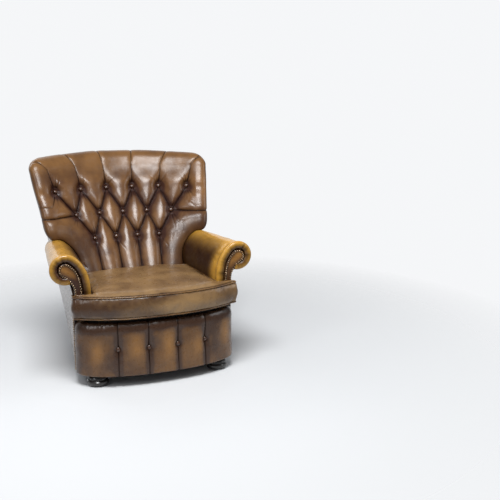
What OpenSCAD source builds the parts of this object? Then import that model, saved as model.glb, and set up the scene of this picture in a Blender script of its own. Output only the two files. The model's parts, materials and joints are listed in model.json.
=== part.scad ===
// Chesterfield armchair with a loose seat cushion, a buttoned barrel back and scroll arms.
// Millimetres. The chair faces -Y, +Z is up, and the origin is on the floor under its middle.

/* [Body] */
// Half the width over the side panels at the front
base_front_half_w = 385; // [375:1:400]
// Half the width over the side panels at the rear, at hem height
base_rear_half_w = 318; // [310:1:330]
// Half the width of the back panel at the top of the crest rail
crest_half_w = 460; // [450:1:466]
// Height of the lower edge of the leather above the floor
hem_h = 54; // [48:1:58]
// Distance of the rear panel's lower edge behind the origin
base_rear_y = 250; // [244:1:262]
// Thickness of the leather over board on the outside panels
panel_t = 5; // [3:0.5:6]

/* [Seat] */
// Height of the top of the seat platform
deck_h = 321; // [318:1:323]
// Thickness of the seat platform
deck_t = 25; // [20:1:27]
// Height of the seam with the lower piping
seam_low_h = 333; // [331:1:338]
// Height of the seam with the upper piping
seam_high_h = 433; // [420:1:440]
// Height of the crown above the upper seam
seat_crown = 20; // [10:1:26]
// Half the width of the cushion over its front corners
cushion_half_w = 388; // [380:1:394]
// Front of the cushion in its middle
cushion_front_y = -514; // [-520:1:-506]
// Front of the cushion near its corners
cushion_corner_y = -426; // [-432:1:-422]
// Radius of the piping cord
piping_r = 4; // [3:0.5:4.5]

/* [Arms] */
// Front of the padded ring of the arm
arm_front_y = -398; // [-400:1:-390]
// Distance of the arm's inner face from the middle, at the front
arm_in_front = 306; // [300:1:308]
// Distance of the arm's inner face from the middle, at the rear
arm_in_rear = 266; // [265:1:272]
// Distance of the scroll's centre from the middle, at the front
scroll_x_front = 417; // [411:1:419]
// Distance of the scroll's centre from the middle, at the rear
scroll_x_rear = 378; // [374:1:384]
// Height of the scroll's centre at the front
scroll_z_front = 556; // [552:1:562]
// Height of the scroll's centre at the rear
scroll_z_rear = 540; // [536:1:543]
// Radius of the scroll at the front ring
scroll_r_front = 72; // [68:1:76]
// Radius of the scroll at the rear
scroll_r_rear = 58; // [56:1:60]
// Thickness of the padding over the scroll and down the inner face
arm_pad_t = 38; // [34:1:40]

/* [Back] */
// Spacing of the buttons at seat height
pleat_pitch_low = 98; // [94:1:102]
// Height of the lower row of buttons
row_low_h = 581; // [575:1:590]
// Height of the middle row of buttons
row_mid_h = 701; // [695:1:710]
// Height of the upper row of buttons
row_top_h = 826; // [815:1:835]
// Height of the top of the back in its middle
top_h = 1020; // [1012:1:1030]
// Half the width of the back between the arms
back_low_half_w = 262; // [258:1:264]
// Half the width of the back just above the arms
wing_low_half_w = 430; // [424:1:436]
// Half the width of the back at its widest, near the top
wing_top_half_w = 481; // [477:1:486]
// Depth of the buttoned swellings over the pleats
tuft_depth = 28; // [20:1:32]
// Thickness of the padding at seat height
pad_low_t = 90; // [84:1:94]
// Thickness of the padding at the crest rail
pad_top_t = 45; // [42:1:48]

/* [Front border] */
// Front of the border in its middle
border_front_y = -514; // [-518:1:-508]
// Height of the top of the border
border_top_h = 308; // [300:1:310]
// Height of the buttons on the border
border_button_h = 183; // [170:1:195]
// Distance between neighbouring buttons on the border
border_button_gap = 141; // [136:1:146]
// Depth of the border's pleats
border_tuft_depth = 15; // [10:1:18]

/* [Frame] */
// Height of the underside of the wooden frame
frame_low_h = 62; // [60:1:64]
// Height of the seat rails above the underside of the frame
rail_h = 118; // [100:2:130]
// Height of the top of the front rail
spring_rail_h = 291; // [288:1:291]
// Thickness of the rails
rail_t = 28; // [24:1:30]
// Thickness of the front and back posts
post_t = 32; // [28:1:34]
// Height of the crest rail itself
crest_rail_h = 60; // [50:1:70]

/* [Feet and trim] */
// Distance of the front feet from the middle
foot_front_x = 293; // [285:1:298]
// How far the front feet stand before the origin
foot_front_y = -401; // [-405:1:-395]
// Distance of the rear feet from the middle
foot_rear_x = 250; // [240:1:256]
// How far the rear feet stand behind the origin
foot_rear_y = 186; // [180:1:192]
// Largest radius of a foot
foot_r = 52; // [46:1:54]
// Radius of a nail's head
nail_r = 4.7; // [4:0.1:5]
// Distance from nail to nail
nail_gap = 10.6; // [10.4:0.2:14]
// Radius of a covered button
button_r = 11; // [9:0.5:12]

/* [Hidden] */

leather = "#6b4a2a";
leather_tan = "#b5812f";
leather_pale = "#8a7355";
wood = "#c9a36a";
brass = "#8c6a35";
black = "#17120f";
steel = "#8d9196";
cloth = "#3a3733";
foam = "#e5d9a8";

// Gap left between soft pieces and their neighbours
clear = 0.5;
// Finer gap between a seated piece and its seat
seat_gap = 0.3;
// Extra length of a cutter past the face that it cuts
overrun = 2;
smooth_fn = 48;

function mix(a, b, t) = a + (b - a) * t;
function share01(t) = min(max(t, 0), 1);
function swell(t) = let (u = share01(t)) sqrt(u * (2 - u));
function unit(v) = v / norm(v);

// Closed solid through rings of equal count, each counter-clockwise as seen from the last ring.
// A ring has near points on one side and the rest on the other, and rungs between them close the ends.
module skin(rings, near_count = 0) {
    rows = len(rings);
    count = len(rings[0]);
    near = near_count > 0 ? near_count : count / 2;
    far = count - near;
    last = (rows - 1) * count;
    across = [for (j = [0:near - 1]) count - 1 - round(j * (far - 1) / (near - 1))];
    points = [for (ring = rings) for (p = ring) p];
    sides = [
        for (i = [0:rows - 2])
            for (j = [0:count - 1])
                let (
                    a = i * count + j,
                    b = i * count + (j + 1) % count,
                    c = b + count,
                    d = a + count
                )
                each [[a, d, c], [a, c, b]]
    ];
    first_cap = [
        for (j = [0:near - 2])
            let (a = j, b = j + 1, c = across[j + 1], d = across[j])
            each c == d ? [[a, b, c]] : [[a, b, c], [a, c, d]]
    ];
    last_cap = [for (f = first_cap) [last + f[0], last + f[2], last + f[1]]];
    polyhedron(points, concat(sides, first_cap, last_cap), convexity = 6);
}

// Facing board of the arm, and the plane in which the border ends and the side panel starts
facing_recess = 8;
facing_t = 28;
border_root_y = arm_front_y + facing_recess + facing_t;
post_y = border_root_y + seat_gap;
post_rear_y = post_y + post_t;

// Bow of the front border, set in from its face by inset
bow_power = 2.15;
function bow_a(inset) = base_front_half_w - inset;
function bow_b(inset) = border_root_y - border_front_y - inset;
function bow_y(x, inset) =
    border_root_y - bow_b(inset) * pow(1 - pow(min(1, abs(x) / bow_a(inset)), bow_power), 1 / bow_power);
function bow_point(turn, inset) = [
    sign(cos(turn)) * bow_a(inset) * pow(abs(cos(turn)), 2 / bow_power),
    border_root_y - bow_b(inset) * pow(abs(sin(turn)), 2 / bow_power)
];

// Side panel: its outer face at a height and a depth
side_front_y = post_y + seat_gap;
function rear_half_w(z) =
    mix(base_rear_half_w, crest_half_w, (z - hem_h) / (crest_top_h - hem_h));
crest_drop = 76;
crest_top_h = top_h - crest_drop;
roll_lift = 1;
roll_start_h = crest_top_h + roll_lift;

// Back surface through the pleats: pitch, middle line and curvature at a height
seat_line_h = 421;
back_seat_y = 85;
pitch_growth = 0.112;
back_slope = 0.643;
curve_low = 4;
curve_growth = 0.027;
roll_lean_h = 15;
roll_top_h = roll_start_h + roll_lean_h;
function pitch(z) = pleat_pitch_low + (z - seat_line_h) * pitch_growth;
function back_mid_y(z) = back_seat_y + (z - seat_line_h) * back_slope;
function back_curve(z) = curve_low + (z - seat_line_h) * curve_growth;
function back_y(x, z) =
    let (h = min(max(z, seat_line_h), roll_top_h)) back_mid_y(h) - pow(x / pitch(h), 2) * back_curve(h);
function pad_t(z) = mix(pad_low_t, pad_top_t, share01((z - seat_line_h) / (crest_top_h - seat_line_h)));

// Outside back: a plane at the hem that curves more and more towards the crest
crest_pack_t = 86.3;
outside_gap = 0.8;
panel_seat_gap = 0.9;
outside_crest_y = back_y(0, roll_start_h) + crest_pack_t + outside_gap + panel_t;
outside_bend = back_curve(roll_start_h) / pow(pitch(roll_start_h), 2);
function outside_way(z) = share01((z - hem_h) / (crest_top_h - hem_h));
function outside_y(x, z) =
    mix(base_rear_y, outside_crest_y, outside_way(z)) - outside_way(z) * outside_bend * x * x;
function outside_inner_y(x, z) = outside_y(x, z) - panel_t - panel_seat_gap;

// Arm: everything is a function of the share of the way from front to rear
arm_rear_y = 180;
ring_swell = 6;
ring_fade = 50;
function way(y) = share01((y - arm_front_y) / (arm_rear_y - arm_front_y));
function core_way(y) = share01((y - post_rear_y) / (arm_rear_y - post_rear_y));
function arm_in_x(y) = mix(arm_in_front, arm_in_rear, way(y));
function scroll_x(y) = mix(scroll_x_front, scroll_x_rear, way(y));
function scroll_z(y) = mix(scroll_z_front, scroll_z_rear, way(y));
function scroll_r(y) =
    mix(scroll_r_front - ring_swell, scroll_r_rear, way(y))
    + ring_swell * exp(-pow((y - arm_front_y) / ring_fade, 2));

// A scroll outline from the foot of the inner face up, over and down to the neck
bend_start_h = 450;
scroll_from = 125;
scroll_to = -80;
scroll_steps = 13;
bend_steps = 4;
rise_share = 0.48;
lean_share = 0.3;
function bezier(a, b, c, d, t) =
    a * pow(1 - t, 3) + b * 3 * t * pow(1 - t, 2) + c * 3 * t * t * (1 - t) + d * pow(t, 3);
function scroll_line(foot_z, in_x, centre, r, from, to) =
    let (
        start = [in_x, bend_start_h],
        rim = centre + r * [cos(from), sin(from)],
        rise = rim[1] - start[1],
        push = start + [0, rise * rise_share],
        pull = rim - [sin(from), -cos(from)] * rise * lean_share
    )
    concat(
        [[in_x, foot_z]],
        [for (i = [0:bend_steps - 1]) bezier(start, push, pull, rim, i / bend_steps)],
        [
            for (i = [0:scroll_steps])
                let (turn = mix(from, to, i / scroll_steps))
                centre + r * [cos(turn), sin(turn)]
        ]
    );
pad_foot_h = deck_h + clear;
core_drop = 4;
neck_turn = -60;
neck_pull_share = 0.85;
function pad_outer(y) =
    scroll_line(pad_foot_h, arm_in_x(y), [scroll_x(y), scroll_z(y)], scroll_r(y), scroll_from, scroll_to);
function core_t(y) = mix(scroll_r_front - arm_pad_t, scroll_r_rear - arm_pad_t + core_gain, core_way(y));
core_gain = 6;
function core_in_x(y) = mix(arm_in_front, arm_in_rear, core_way(y)) + arm_pad_t;
function core_centre(y) = [
    mix(scroll_x_front, scroll_x_rear, core_way(y)) - core_drop / 2,
    mix(scroll_z_front, scroll_z_rear, core_way(y)) - core_drop
];
function pad_inner(y) =
    scroll_line(pad_foot_h, core_in_x(y), core_centre(y), core_t(y), scroll_from, neck_turn);

// Closed outline of the board inside the scroll ring: facing, post and rail use it
stem_w = 37;
neck_steps = 4;
function core_outline(foot_z, grow) =
    let (
        in_x = core_in_x(arm_front_y) - grow,
        centre = core_centre(arm_front_y),
        line = scroll_line(foot_z, in_x, centre, core_t(arm_front_y) + grow, scroll_from, neck_turn),
        out_x = core_in_x(arm_front_y) + stem_w + grow,
        tip = line[len(line) - 1],
        low = [out_x, bend_start_h],
        pull = stem_w * neck_pull_share,
        leave = tip + pull * [sin(neck_turn), -cos(neck_turn)]
    )
    concat(
        line,
        [for (i = [1:neck_steps]) bezier(tip, leave, low + [0, pull], low, i / neck_steps)],
        [[out_x, foot_z]]
    );

// Frame pieces
border_t_mid = 41;
front_rail_inset = border_t_mid + clear;
post_foot_x = 322;
post_foot_w = 36;
rail_end_share = 0.4;
module front_rail() {
    reach = post_foot_x + post_foot_w * rail_end_share;
    steps = 24;
    outer = [for (i = [0:steps]) let (x = mix(-reach, reach, i / steps)) [x, bow_y(x, front_rail_inset)]];
    inner = [
        for (i = [0:steps])
            let (x = mix(reach, -reach, i / steps))
            [x, bow_y(x, front_rail_inset + rail_t)]
    ];
    color(wood)
        translate([0, 0, frame_low_h])
            linear_extrude(spring_rail_h - frame_low_h)
                polygon(concat(outer, inner));
}

post_panel_gap = 0.5;
function post_out_x(z) = rear_half_w(z) - panel_t - post_panel_gap;
module back_rail() {
    half = post_out_x(frame_low_h) - post_t - seat_gap;
    back = outside_inner_y(half, frame_low_h);
    color(wood)
        translate([-half, back - rail_t, frame_low_h])
            cube([half * 2, rail_t, rail_h]);
}

// Outer face of the wood behind the side panel, tapering with the panel
function side_way(y) = (y - side_front_y) / (base_rear_y - side_front_y);
function side_x(y, z) = mix(base_front_half_w, rear_half_w(z), side_way(y));
module side_rail() {
    from = post_rear_y + seat_gap;
    to = back_post_front_y - seat_gap;
    top = frame_low_h + rail_h;
    rings = [
        for (y = [from, to])
            let (out = side_x(y, frame_low_h) - panel_t - post_panel_gap)
            [
                [out - rail_t, y, frame_low_h],
                [out - rail_t, y, top],
                [out, y, top],
                [out, y, frame_low_h]
            ]
    ];
    color(wood) skin(rings);
}

block_leg_front = 60;
block_leg_rear = 84;
module corner_blocks() {
    half = post_out_x(frame_low_h) - post_t - seat_gap;
    out = half - seat_gap;
    rear = outside_inner_y(half, frame_low_h) - rail_t - seat_gap;
    front = post_rear_y + seat_gap;
    side = side_x(front + block_leg_front, frame_low_h) - panel_t - post_panel_gap - rail_t - seat_gap;
    color(wood)
        for (turned = [0, 1])
            mirror([turned, 0, 0])
                translate([0, 0, frame_low_h])
                    linear_extrude(rail_h) {
                        polygon([[out, rear], [out - block_leg_rear, rear], [out, rear - block_leg_rear]]);
                        polygon([
                            [side - block_leg_front, front],
                            [side, front + block_leg_front],
                            [side, front]
                        ]);
                    }
}

module front_post() {
    head_low = deck_h;
    inset = 3;
    color(wood)
        translate([0, post_rear_y, 0])
            rotate([90, 0, 0])
                linear_extrude(post_t)
                    polygon(concat(
                        [[post_foot_x, frame_low_h], [post_foot_x, border_top_h]],
                        core_outline(head_low, -inset),
                        [[post_foot_x + post_foot_w, border_top_h], [post_foot_x + post_foot_w, frame_low_h]]
                    ));
}

// Back post: a wide board sawn to the rake, leaning outwards with the back
back_post_front_y = arm_rear_y + 1.5 * seat_gap;
strap_t = 2;
strap_w = 48;
strap_clear = 0.8;
weave_gap = 0.6;
level_room = strap_clear + strap_t + seat_gap;
strap_room = strap_clear + 2 * strap_t + weave_gap + seat_gap;
function post_front_y(z) =
    max(back_post_front_y, back_y(post_out_x(z) - post_t, z) + pad_t(z) + level_room);
module back_post() {
    steps = 14;
    rings = [
        for (i = [0:steps])
            let (
                z = mix(frame_low_h, crest_top_h - seat_gap, i / steps),
                out = post_out_x(z),
                front = post_front_y(z),
                rear = outside_inner_y(out, z)
            )
            [
                [out - post_t, front, z],
                [out, front, z],
                [out, rear, z],
                [out - post_t, rear, z]
            ]
    ];
    color(wood) skin(rings);
}

module crest_rail() {
    low = crest_top_h - crest_rail_h;
    half = post_out_x(low) - post_t - seat_gap;
    top = crest_top_h - seat_gap;
    steps = 32;
    rings = [
        for (i = [0:steps])
            let (x = mix(-half, half, i / steps))
            [
                [x, back_y(x, low) + pad_t(low) + strap_room, low],
                [x, back_y(x, top) + pad_t(top) + strap_room, top],
                [x, outside_inner_y(x, top) - clear, top],
                [x, outside_inner_y(x, low) - clear, low]
            ]
    ];
    color(wood) skin([for (i = [steps:-1:0]) rings[i]]);
}

spring_rail_drop = 50;
module spring_rail() {
    low = spring_rail_h - spring_rail_drop;
    half = post_out_x(low) - post_t - seat_gap;
    color(wood)
        translate([-half, rail_front_y, low])
            cube([half * 2, rail_t, spring_rail_drop]);
}

// Rail behind the lower edge of the back, to which the upright straps are tacked
rail_front_y = back_seat_y + pad_low_t + strap_room;
low_rail_lift = 4;
low_rail_h = 44;
module back_low_rail() {
    low = deck_h + low_rail_lift;
    half = post_out_x(low) - post_t - seat_gap;
    color(wood)
        translate([-half, rail_front_y, low])
            cube([half * 2, rail_t, low_rail_h]);
}

rail_sides = 10;
module arm_rail() {
    rings = [
        for (y = [post_rear_y + seat_gap, back_post_front_y - seat_gap])
            [
                for (i = [0:rail_sides - 1])
                    let (turn = 90 - 360 * i / rail_sides, r = core_t(y) - 3 * clear)
                    [core_centre(y)[0] + r * cos(turn), y, core_centre(y)[1] + r * sin(turn)]
            ]
    ];
    color(wood) skin(rings);
}

arm_board_t = 12;
module arm_board() {
    top = bend_start_h;
    low = frame_low_h + rail_h + seat_gap;
    rings = [
        for (y = [post_rear_y + seat_gap, back_post_front_y - seat_gap])
            let (x = core_in_x(y) + clear)
            [
                [x, y, low],
                [x, y, top],
                [x + arm_board_t, y, top],
                [x + arm_board_t, y, low]
            ]
    ];
    color(wood) skin(rings);
}

spring_count = 5;
spring_turns = 11;
spring_wire = 4;
spring_half = 20;
function spring_x(i) = (i - (spring_count - 1) / 2) * spring_spread;
spring_spread = 105;
spring_overlap = 14;
module seat_springs() {
    rear = rail_front_y + spring_overlap;
    steps = spring_turns * 8;
    color(steel)
        for (i = [0:spring_count - 1]) {
            x = spring_x(i);
            front = bow_y(x, front_rail_inset) + spring_overlap;
            line = [
                for (k = [0:steps])
                    [x + spring_half * sin(360 * spring_turns * k / steps), mix(front, rear, k / steps)]
            ];
            edge = function(k)
                let (d = unit(line[min(k + 1, steps)] - line[max(k - 1, 0)])) [d[1], -d[0]] * spring_wire / 2;
            translate([0, 0, spring_rail_h + clip_t + seat_gap])
                linear_extrude(deck_h - deck_t - seat_gap - spring_rail_h - clip_t - seat_gap)
                    polygon(concat(
                        [for (k = [0:steps]) line[k] + edge(k)],
                        [for (k = [steps:-1:0]) line[k] - edge(k)]
                    ));
        }
}

clip_t = 1.2;
clip_w = 26;
clip_l = 20;
module spring_clips() {
    rear = rail_front_y + spring_overlap;
    color(steel)
        for (i = [0:spring_count - 1]) {
            x = spring_x(i);
            front = bow_y(x, front_rail_inset) + spring_overlap;
            for (y = [front, rear])
                translate([x - clip_w / 2, y - clip_l / 2, spring_rail_h])
                    cube([clip_w, clip_l, clip_t]);
        }
}

deck_front_inset = 46;
module seat_platform() {
    steps = 20;
    side_front = post_rear_y + seat_gap;
    deck_rear = back_y(0, seat_line_h) + pad_low_t - clear;
    half = post_foot_x - seat_gap;
    front = [for (i = [0:steps]) let (x = mix(-half, half, i / steps)) [x, bow_y(x, deck_front_inset)]];
    sides = [
        [half, side_front],
        [core_in_x(side_front) - clear, side_front],
        [core_in_x(deck_rear) - clear, deck_rear]
    ];
    color(cloth)
        translate([0, 0, deck_h - deck_t])
            linear_extrude(deck_t)
                polygon(concat(front, sides, [for (i = [2:-1:0]) [-sides[i][0], sides[i][1]]]));
}

upright_count = 5;
upright_gap = 95;
module strap(points, depth) {
    color(cloth) skin([
        for (p = points)
            [
                [p[0], p[2] + depth, p[4]],
                [p[1], p[3] + depth, p[5]],
                [p[1], p[3] + depth + strap_t, p[5]],
                [p[0], p[2] + depth + strap_t, p[4]]
            ]
    ]);
}
module back_straps_upright() {
    levels = concat([for (z = back_levels()) if (z < crest_top_h - clear) z], [crest_top_h - seat_gap]);
    for (i = [0:upright_count - 1]) {
        x = (i - (upright_count - 1) / 2) * upright_gap;
        a = x - strap_w / 2;
        b = x + strap_w / 2;
        strap(
            [for (z = levels) [a, b, back_y(a, z) + pad_t(z), back_y(b, z) + pad_t(z), z, z]],
            strap_clear + strap_t + weave_gap
        );
    }
}
level_heights_share = [0.2, 0.45, 0.7];
module back_straps_level() {
    steps = 20;
    for (share = level_heights_share) {
        z = mix(wing_foot_h, crest_top_h, share);
        top = z + strap_w;
        half = post_out_x(z) - post_t / 2;
        color(cloth) skin([
            for (k = [steps:-1:0])
                let (
                    x = mix(-half, half, k / steps),
                    low_y = back_y(x, z) + pad_t(z) + strap_clear,
                    high_y = back_y(x, top) + pad_t(top) + strap_clear
                )
                [[x, low_y, z], [x, high_y, top], [x, high_y + strap_t, top], [x, low_y + strap_t, z]]
        ]);
    }
}

// Buttoned back: the pleats join the buttons, and the leather swells between them
wing_foot_h = 606;
corner_w = 75;
back_roll_w = 60;
back_roll_d = 40;
outer_pleat = 2;
function back_half_w(z) =
    z < wing_foot_h - 2 * clear ? back_low_half_w
    : mix(wing_low_half_w, wing_top_half_w, share01((z - wing_foot_h) / (roll_start_h - wing_foot_h)));
top_fall = 18;
top_fall_w = 430;
function back_top_h(x) = top_h - top_fall * pow(x / top_fall_w, 2);
function row_x(k, z) = k * pitch(z);
function pleat_lines() = concat(
    [for (k = [-2.5:1:2.5]) [[row_x(k, row_top_h), row_top_h], [row_x(k, top_h), top_h]]],
    [
        for (k = [-2:1:2], s = [-0.5, 0.5])
            [[row_x(k, row_mid_h), row_mid_h], [row_x(k + s, row_top_h), row_top_h]]
    ],
    [
        for (k = [-1.5:1:1.5], s = [-0.5, 0.5])
            [[row_x(k, row_low_h), row_low_h], [row_x(k + s, row_mid_h), row_mid_h]]
    ],
    [for (k = [-1.5:1:1.5]) [[row_x(k, row_low_h), row_low_h], [row_x(k, seat_line_h), deck_h]]],
    [for (s = [-1, 1]) [[row_x(2 * s, row_mid_h), row_mid_h], [s * wing_top_half_w, row_mid_h]]]
);
function button_places() = concat(
    [for (k = [-2.5:1:2.5]) [row_x(k, row_top_h), row_top_h]],
    [for (k = [-2:1:2]) [row_x(k, row_mid_h), row_mid_h]],
    [for (k = [-1.5:1:1.5]) [row_x(k, row_low_h), row_low_h]]
);
function gap_to(p, line) =
    let (
        run = line[1] - line[0],
        t = share01(((p - line[0]) * run) / (run * run))
    )
    norm(p - line[0] - run * t);
pleats = pleat_lines();
buttons = button_places();
pleat_reach = 52;
button_soft = 24;
pit_depth = 7;
pit_soft = 16;
function tuft(p) =
    let (
        line_gap = min([for (l = pleats) gap_to(p, l)]),
        button_gap = min([for (b = buttons) norm(p - b)])
    )
    tuft_depth * swell(line_gap / pleat_reach) * (1 - exp(-pow(button_gap / button_soft, 2)))
    - pit_depth * exp(-pow(button_gap / pit_soft, 2));
function roll_in(e) =
    e < back_roll_w ? back_roll_d * (1 - sqrt(1 - pow((back_roll_w - e) / back_roll_w, 2))) : 0;

// A point of the front: x share outwards and height share upwards are bent round the corner
function back_point(x, z, half) =
    let (
        s = abs(x),
        start = half - corner_w,
        a = share01((s - start) / corner_w),
        crown = back_top_h(min(s, start)),
        b = share01((z - roll_start_h) / (crown - roll_start_h)),
        a2 = a * sqrt(1 - b * b / 2),
        b2 = b * sqrt(1 - a * a / 2),
        e = (1 - sqrt(a2 * a2 + b2 * b2)) * corner_w,
        px = sign(x) * (s > start ? start + a2 * corner_w : s),
        pz = z > roll_start_h ? roll_start_h + b2 * (crown - roll_start_h) : z,
        fade = share01(e / back_roll_w),
        low = z < wing_foot_h - 2 * clear
    )
    [px, back_y(px, pz) - tuft([px, pz]) * (low ? 1 : swell(fade)) + (low ? 0 : roll_in(e)), pz];

inner_shares = [for (k = [-16:16]) k / 8];
wing_button_share = (0.5 * pitch(row_top_h)) / (back_half_w(row_top_h) - outer_pleat * pitch(row_top_h));
outer_shares = [
    wing_button_share / 2, wing_button_share, mix(wing_button_share, 1, 0.3),
    mix(wing_button_share, 1, 0.55), mix(wing_button_share, 1, 0.78), mix(wing_button_share, 1, 0.93), 1
];
function back_columns(z) =
    let (
        half = back_half_w(z),
        edge = min(outer_pleat * pitch(max(z, seat_line_h)), half * 0.94),
        out = [for (s = outer_shares) mix(edge, half, s)]
    )
    concat(
        [for (i = [len(out) - 1:-1:0]) -out[i]],
        [for (k = inner_shares) k * edge / outer_pleat],
        out
    );
top_shares = [0.22, 0.45, 0.68, 0.86, 0.96, 1];
function back_levels() = concat(
    [deck_h + clear, seat_line_h, mix(seat_line_h, row_low_h, 0.5)],
    [for (i = [0:3]) mix(row_low_h, row_mid_h, i / 4)],
    [for (i = [0:3]) mix(row_mid_h, row_top_h, i / 4)],
    [for (i = [0:2]) mix(row_top_h, roll_start_h, i / 3)],
    [roll_start_h]
);
rear_spans = 8;
function back_ring(z) =
    let (half = back_half_w(z))
    concat(
        [for (x = back_columns(z)) back_point(x, z, half)],
        [for (i = [rear_spans:-1:0]) let (x = mix(-half, half, i / rear_spans)) [x, back_y(x, z) + pad_t(z), z]]
    );
top_round = 18;
function back_top_point(x, half, share) =
    back_point(x, mix(roll_start_h, back_top_h(min(abs(x), half - corner_w)), share), half);
function back_top_ring(share) =
    let (
        half = back_half_w(roll_start_h),
        rim = crest_pack_t - top_round * pow(share, 4)
    )
    concat(
        [for (x = back_columns(roll_start_h)) back_top_point(x, half, share)],
        [
            for (i = [rear_spans:-1:0])
                let (p = back_top_point(mix(-half, half, i / rear_spans), half, share))
                [p[0], max(p[1] + seat_gap, back_y(p[0], roll_start_h) + rim), p[2]]
        ]
    );
wing_step = 20;
module back_pad() {
    levels = back_levels();
    low = [for (z = levels) if (z < wing_foot_h - 2 * clear) back_ring(z)];
    shelf = [back_ring(wing_foot_h - 3 * clear), back_ring(wing_foot_h)];
    high = [for (z = levels) if (z > wing_foot_h + wing_step && z <= roll_start_h) back_ring(z)];
    top = [for (s = top_shares) back_top_ring(s)];
    color(leather) skin(concat(low, shelf, high, top), len(back_columns(row_low_h)));
}

button_lift = 9;
button_h = 7;
shank_r = 1.6;
tip_gap = 0.5;
tip_h = 3.2;
rim_share = 0.9;
back_turn = 32;
module covered_button(lift) {
    dome = [
        for (turn = [0:15:90])
            [button_r * cos(turn), lift + button_h * (0.35 + 0.65 * sin(turn))]
    ];
    rotate_extrude($fn = smooth_fn)
        polygon(concat(
            [[0, tip_gap], [shank_r, tip_gap + tip_h], [shank_r, lift], [button_r * rim_share, lift]],
            dome
        ));
}
module back_button_row(z, shares) {
    color(leather)
        for (k = shares) {
            x = row_x(k, z);
            lean = atan(2 * x * back_curve(z) / pow(pitch(z), 2));
            translate([x, back_y(x, z) + pit_depth, z])
                rotate([90 - back_turn, 0, -lean])
                    covered_button(button_lift + pit_depth);
        }
}
module back_buttons_top() {
    back_button_row(row_top_h, [-2.5:1:2.5]);
}
module back_buttons_middle() {
    back_button_row(row_mid_h, [-2:1:2]);
}
module back_buttons_bottom() {
    back_button_row(row_low_h, [-1.5:1:1.5]);
}

// Front border: a padded strip on the bow with a pleat at each button
border_t_end = 22;
border_round = 44;
border_round_d = 24;
border_pleat_reach = 46;
border_pleat_xs = [for (k = [-1.5:1:1.5]) k * border_button_gap];
function turn_at(x) = acos(sign(x) * pow(abs(x) / bow_a(0), bow_power / 2));
function border_span(a, b, shares) = [for (s = shares) mix(a, b, s)];
border_mid_shares = [0, 0.08, 0.22, 0.5, 0.78, 0.92];
border_end_shares = [0, 0.12, 0.3, 0.5, 0.7, 0.86, 0.95];
function border_turns() =
    let (
        t = [for (x = [for (k = [1.5:-1:-1.5]) k * border_button_gap]) turn_at(x)],
        right = border_span(0, t[0], border_end_shares),
        mids = [for (i = [0:2]) each border_span(t[i], t[i + 1], border_mid_shares)],
        left = [for (i = [len(right) - 1:-1:0]) 180 - right[i]]
    )
    concat(right, mids, [t[3]], left);
border_levels_share = [0, 0.03, 0.09, 0.18, 0.32, 0.45, 0.51, 0.57, 0.7, 0.84, 0.93, 0.98, 1];
end_share = 0.6;
module front_border() {
    turns = border_turns();
    low = hem_h;
    tall = border_top_h - hem_h;
    rings = [
        for (turn = turns)
            let (
                p = bow_point(turn, 0),
                q = bow_point(turn, 1),
                n = unit(p - q),
                pleat_gap = min([for (x = border_pleat_xs) norm(p - bow_point(turn_at(x), 0))]),
                end = share01(abs(cos(turn))),
                t = mix(border_t_mid, border_t_end, pow(end, 3)),
                front = [
                    for (s = border_levels_share)
                        let (
                            z = low + tall * s,
                            e = min(z - low, low + tall - z),
                            edge = e < border_round
                                ? border_round_d * (1 - sqrt(1 - pow((border_round - e) / border_round, 2)))
                                : 0,
                            pit = norm([pleat_gap, z - border_button_h]),
                            groove = border_tuft_depth * (1 - swell(pleat_gap / border_pleat_reach)
                                * (1 - exp(-pow(pit / button_soft, 2))))
                        )
                        let (sink = edge * (1 - end_share * end) + groove)
                        [p[0] - n[0] * sink, p[1] - n[1] * sink, z]
                ],
                count = len(front),
                rear = [
                    for (i = [count - 1:-1:0])
                        [p[0] - n[0] * t, p[1] - n[1] * t, front[i][2]]
                ]
            )
            concat(front, rear)
    ];
    color(leather) skin(rings);
}
border_button_lift = 9;
module border_buttons() {
    color(leather)
        for (x = border_pleat_xs) {
            p = bow_point(turn_at(x), 0);
            n = unit(p - bow_point(turn_at(x), 1));
            translate([p[0] - n[0] * border_tuft_depth, p[1] - n[1] * border_tuft_depth, border_button_h])
                rotate([90, 0, atan(-n[0] / n[1])])
                    covered_button(border_button_lift);
        }
}

// Arm: padding, facing, nails and outside panel of the right arm
ring_shares = [0.5, 0.72, 0.9, 1];
ring_depths_share = [0, 0.12, 0.4, 1];
ring_d = 26;
function arm_ring(y, fullness) =
    let (
        inner = pad_inner(y),
        outer = pad_outer(y),
        count = len(outer)
    )
    concat(
        [for (j = [0:count - 1]) let (p = mix(inner[j], outer[j], fullness)) [p[0], y, p[1]]],
        [for (j = [count - 1:-1:0]) [inner[j][0], y, inner[j][1]]]
    );
arm_steps = 8;
module arm_pad() {
    front = [
        for (i = [0:len(ring_shares) - 1])
            arm_ring(arm_front_y + ring_d * ring_depths_share[i], ring_shares[i])
    ];
    rest = [for (i = [0:arm_steps]) arm_ring(mix(post_rear_y, arm_rear_y, i / arm_steps), 1)];
    color(leather_tan) skin(concat(front, rest));
}
facing_gap = 1;
facing_lift = 12;
facing_foot_h = border_top_h + facing_lift;
module arm_facing() {
    color(leather)
        translate([0, arm_front_y + facing_recess + facing_t, 0])
            rotate([90, 0, 0])
                linear_extrude(facing_t)
                    polygon(core_outline(facing_foot_h, -facing_gap));
}

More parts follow.
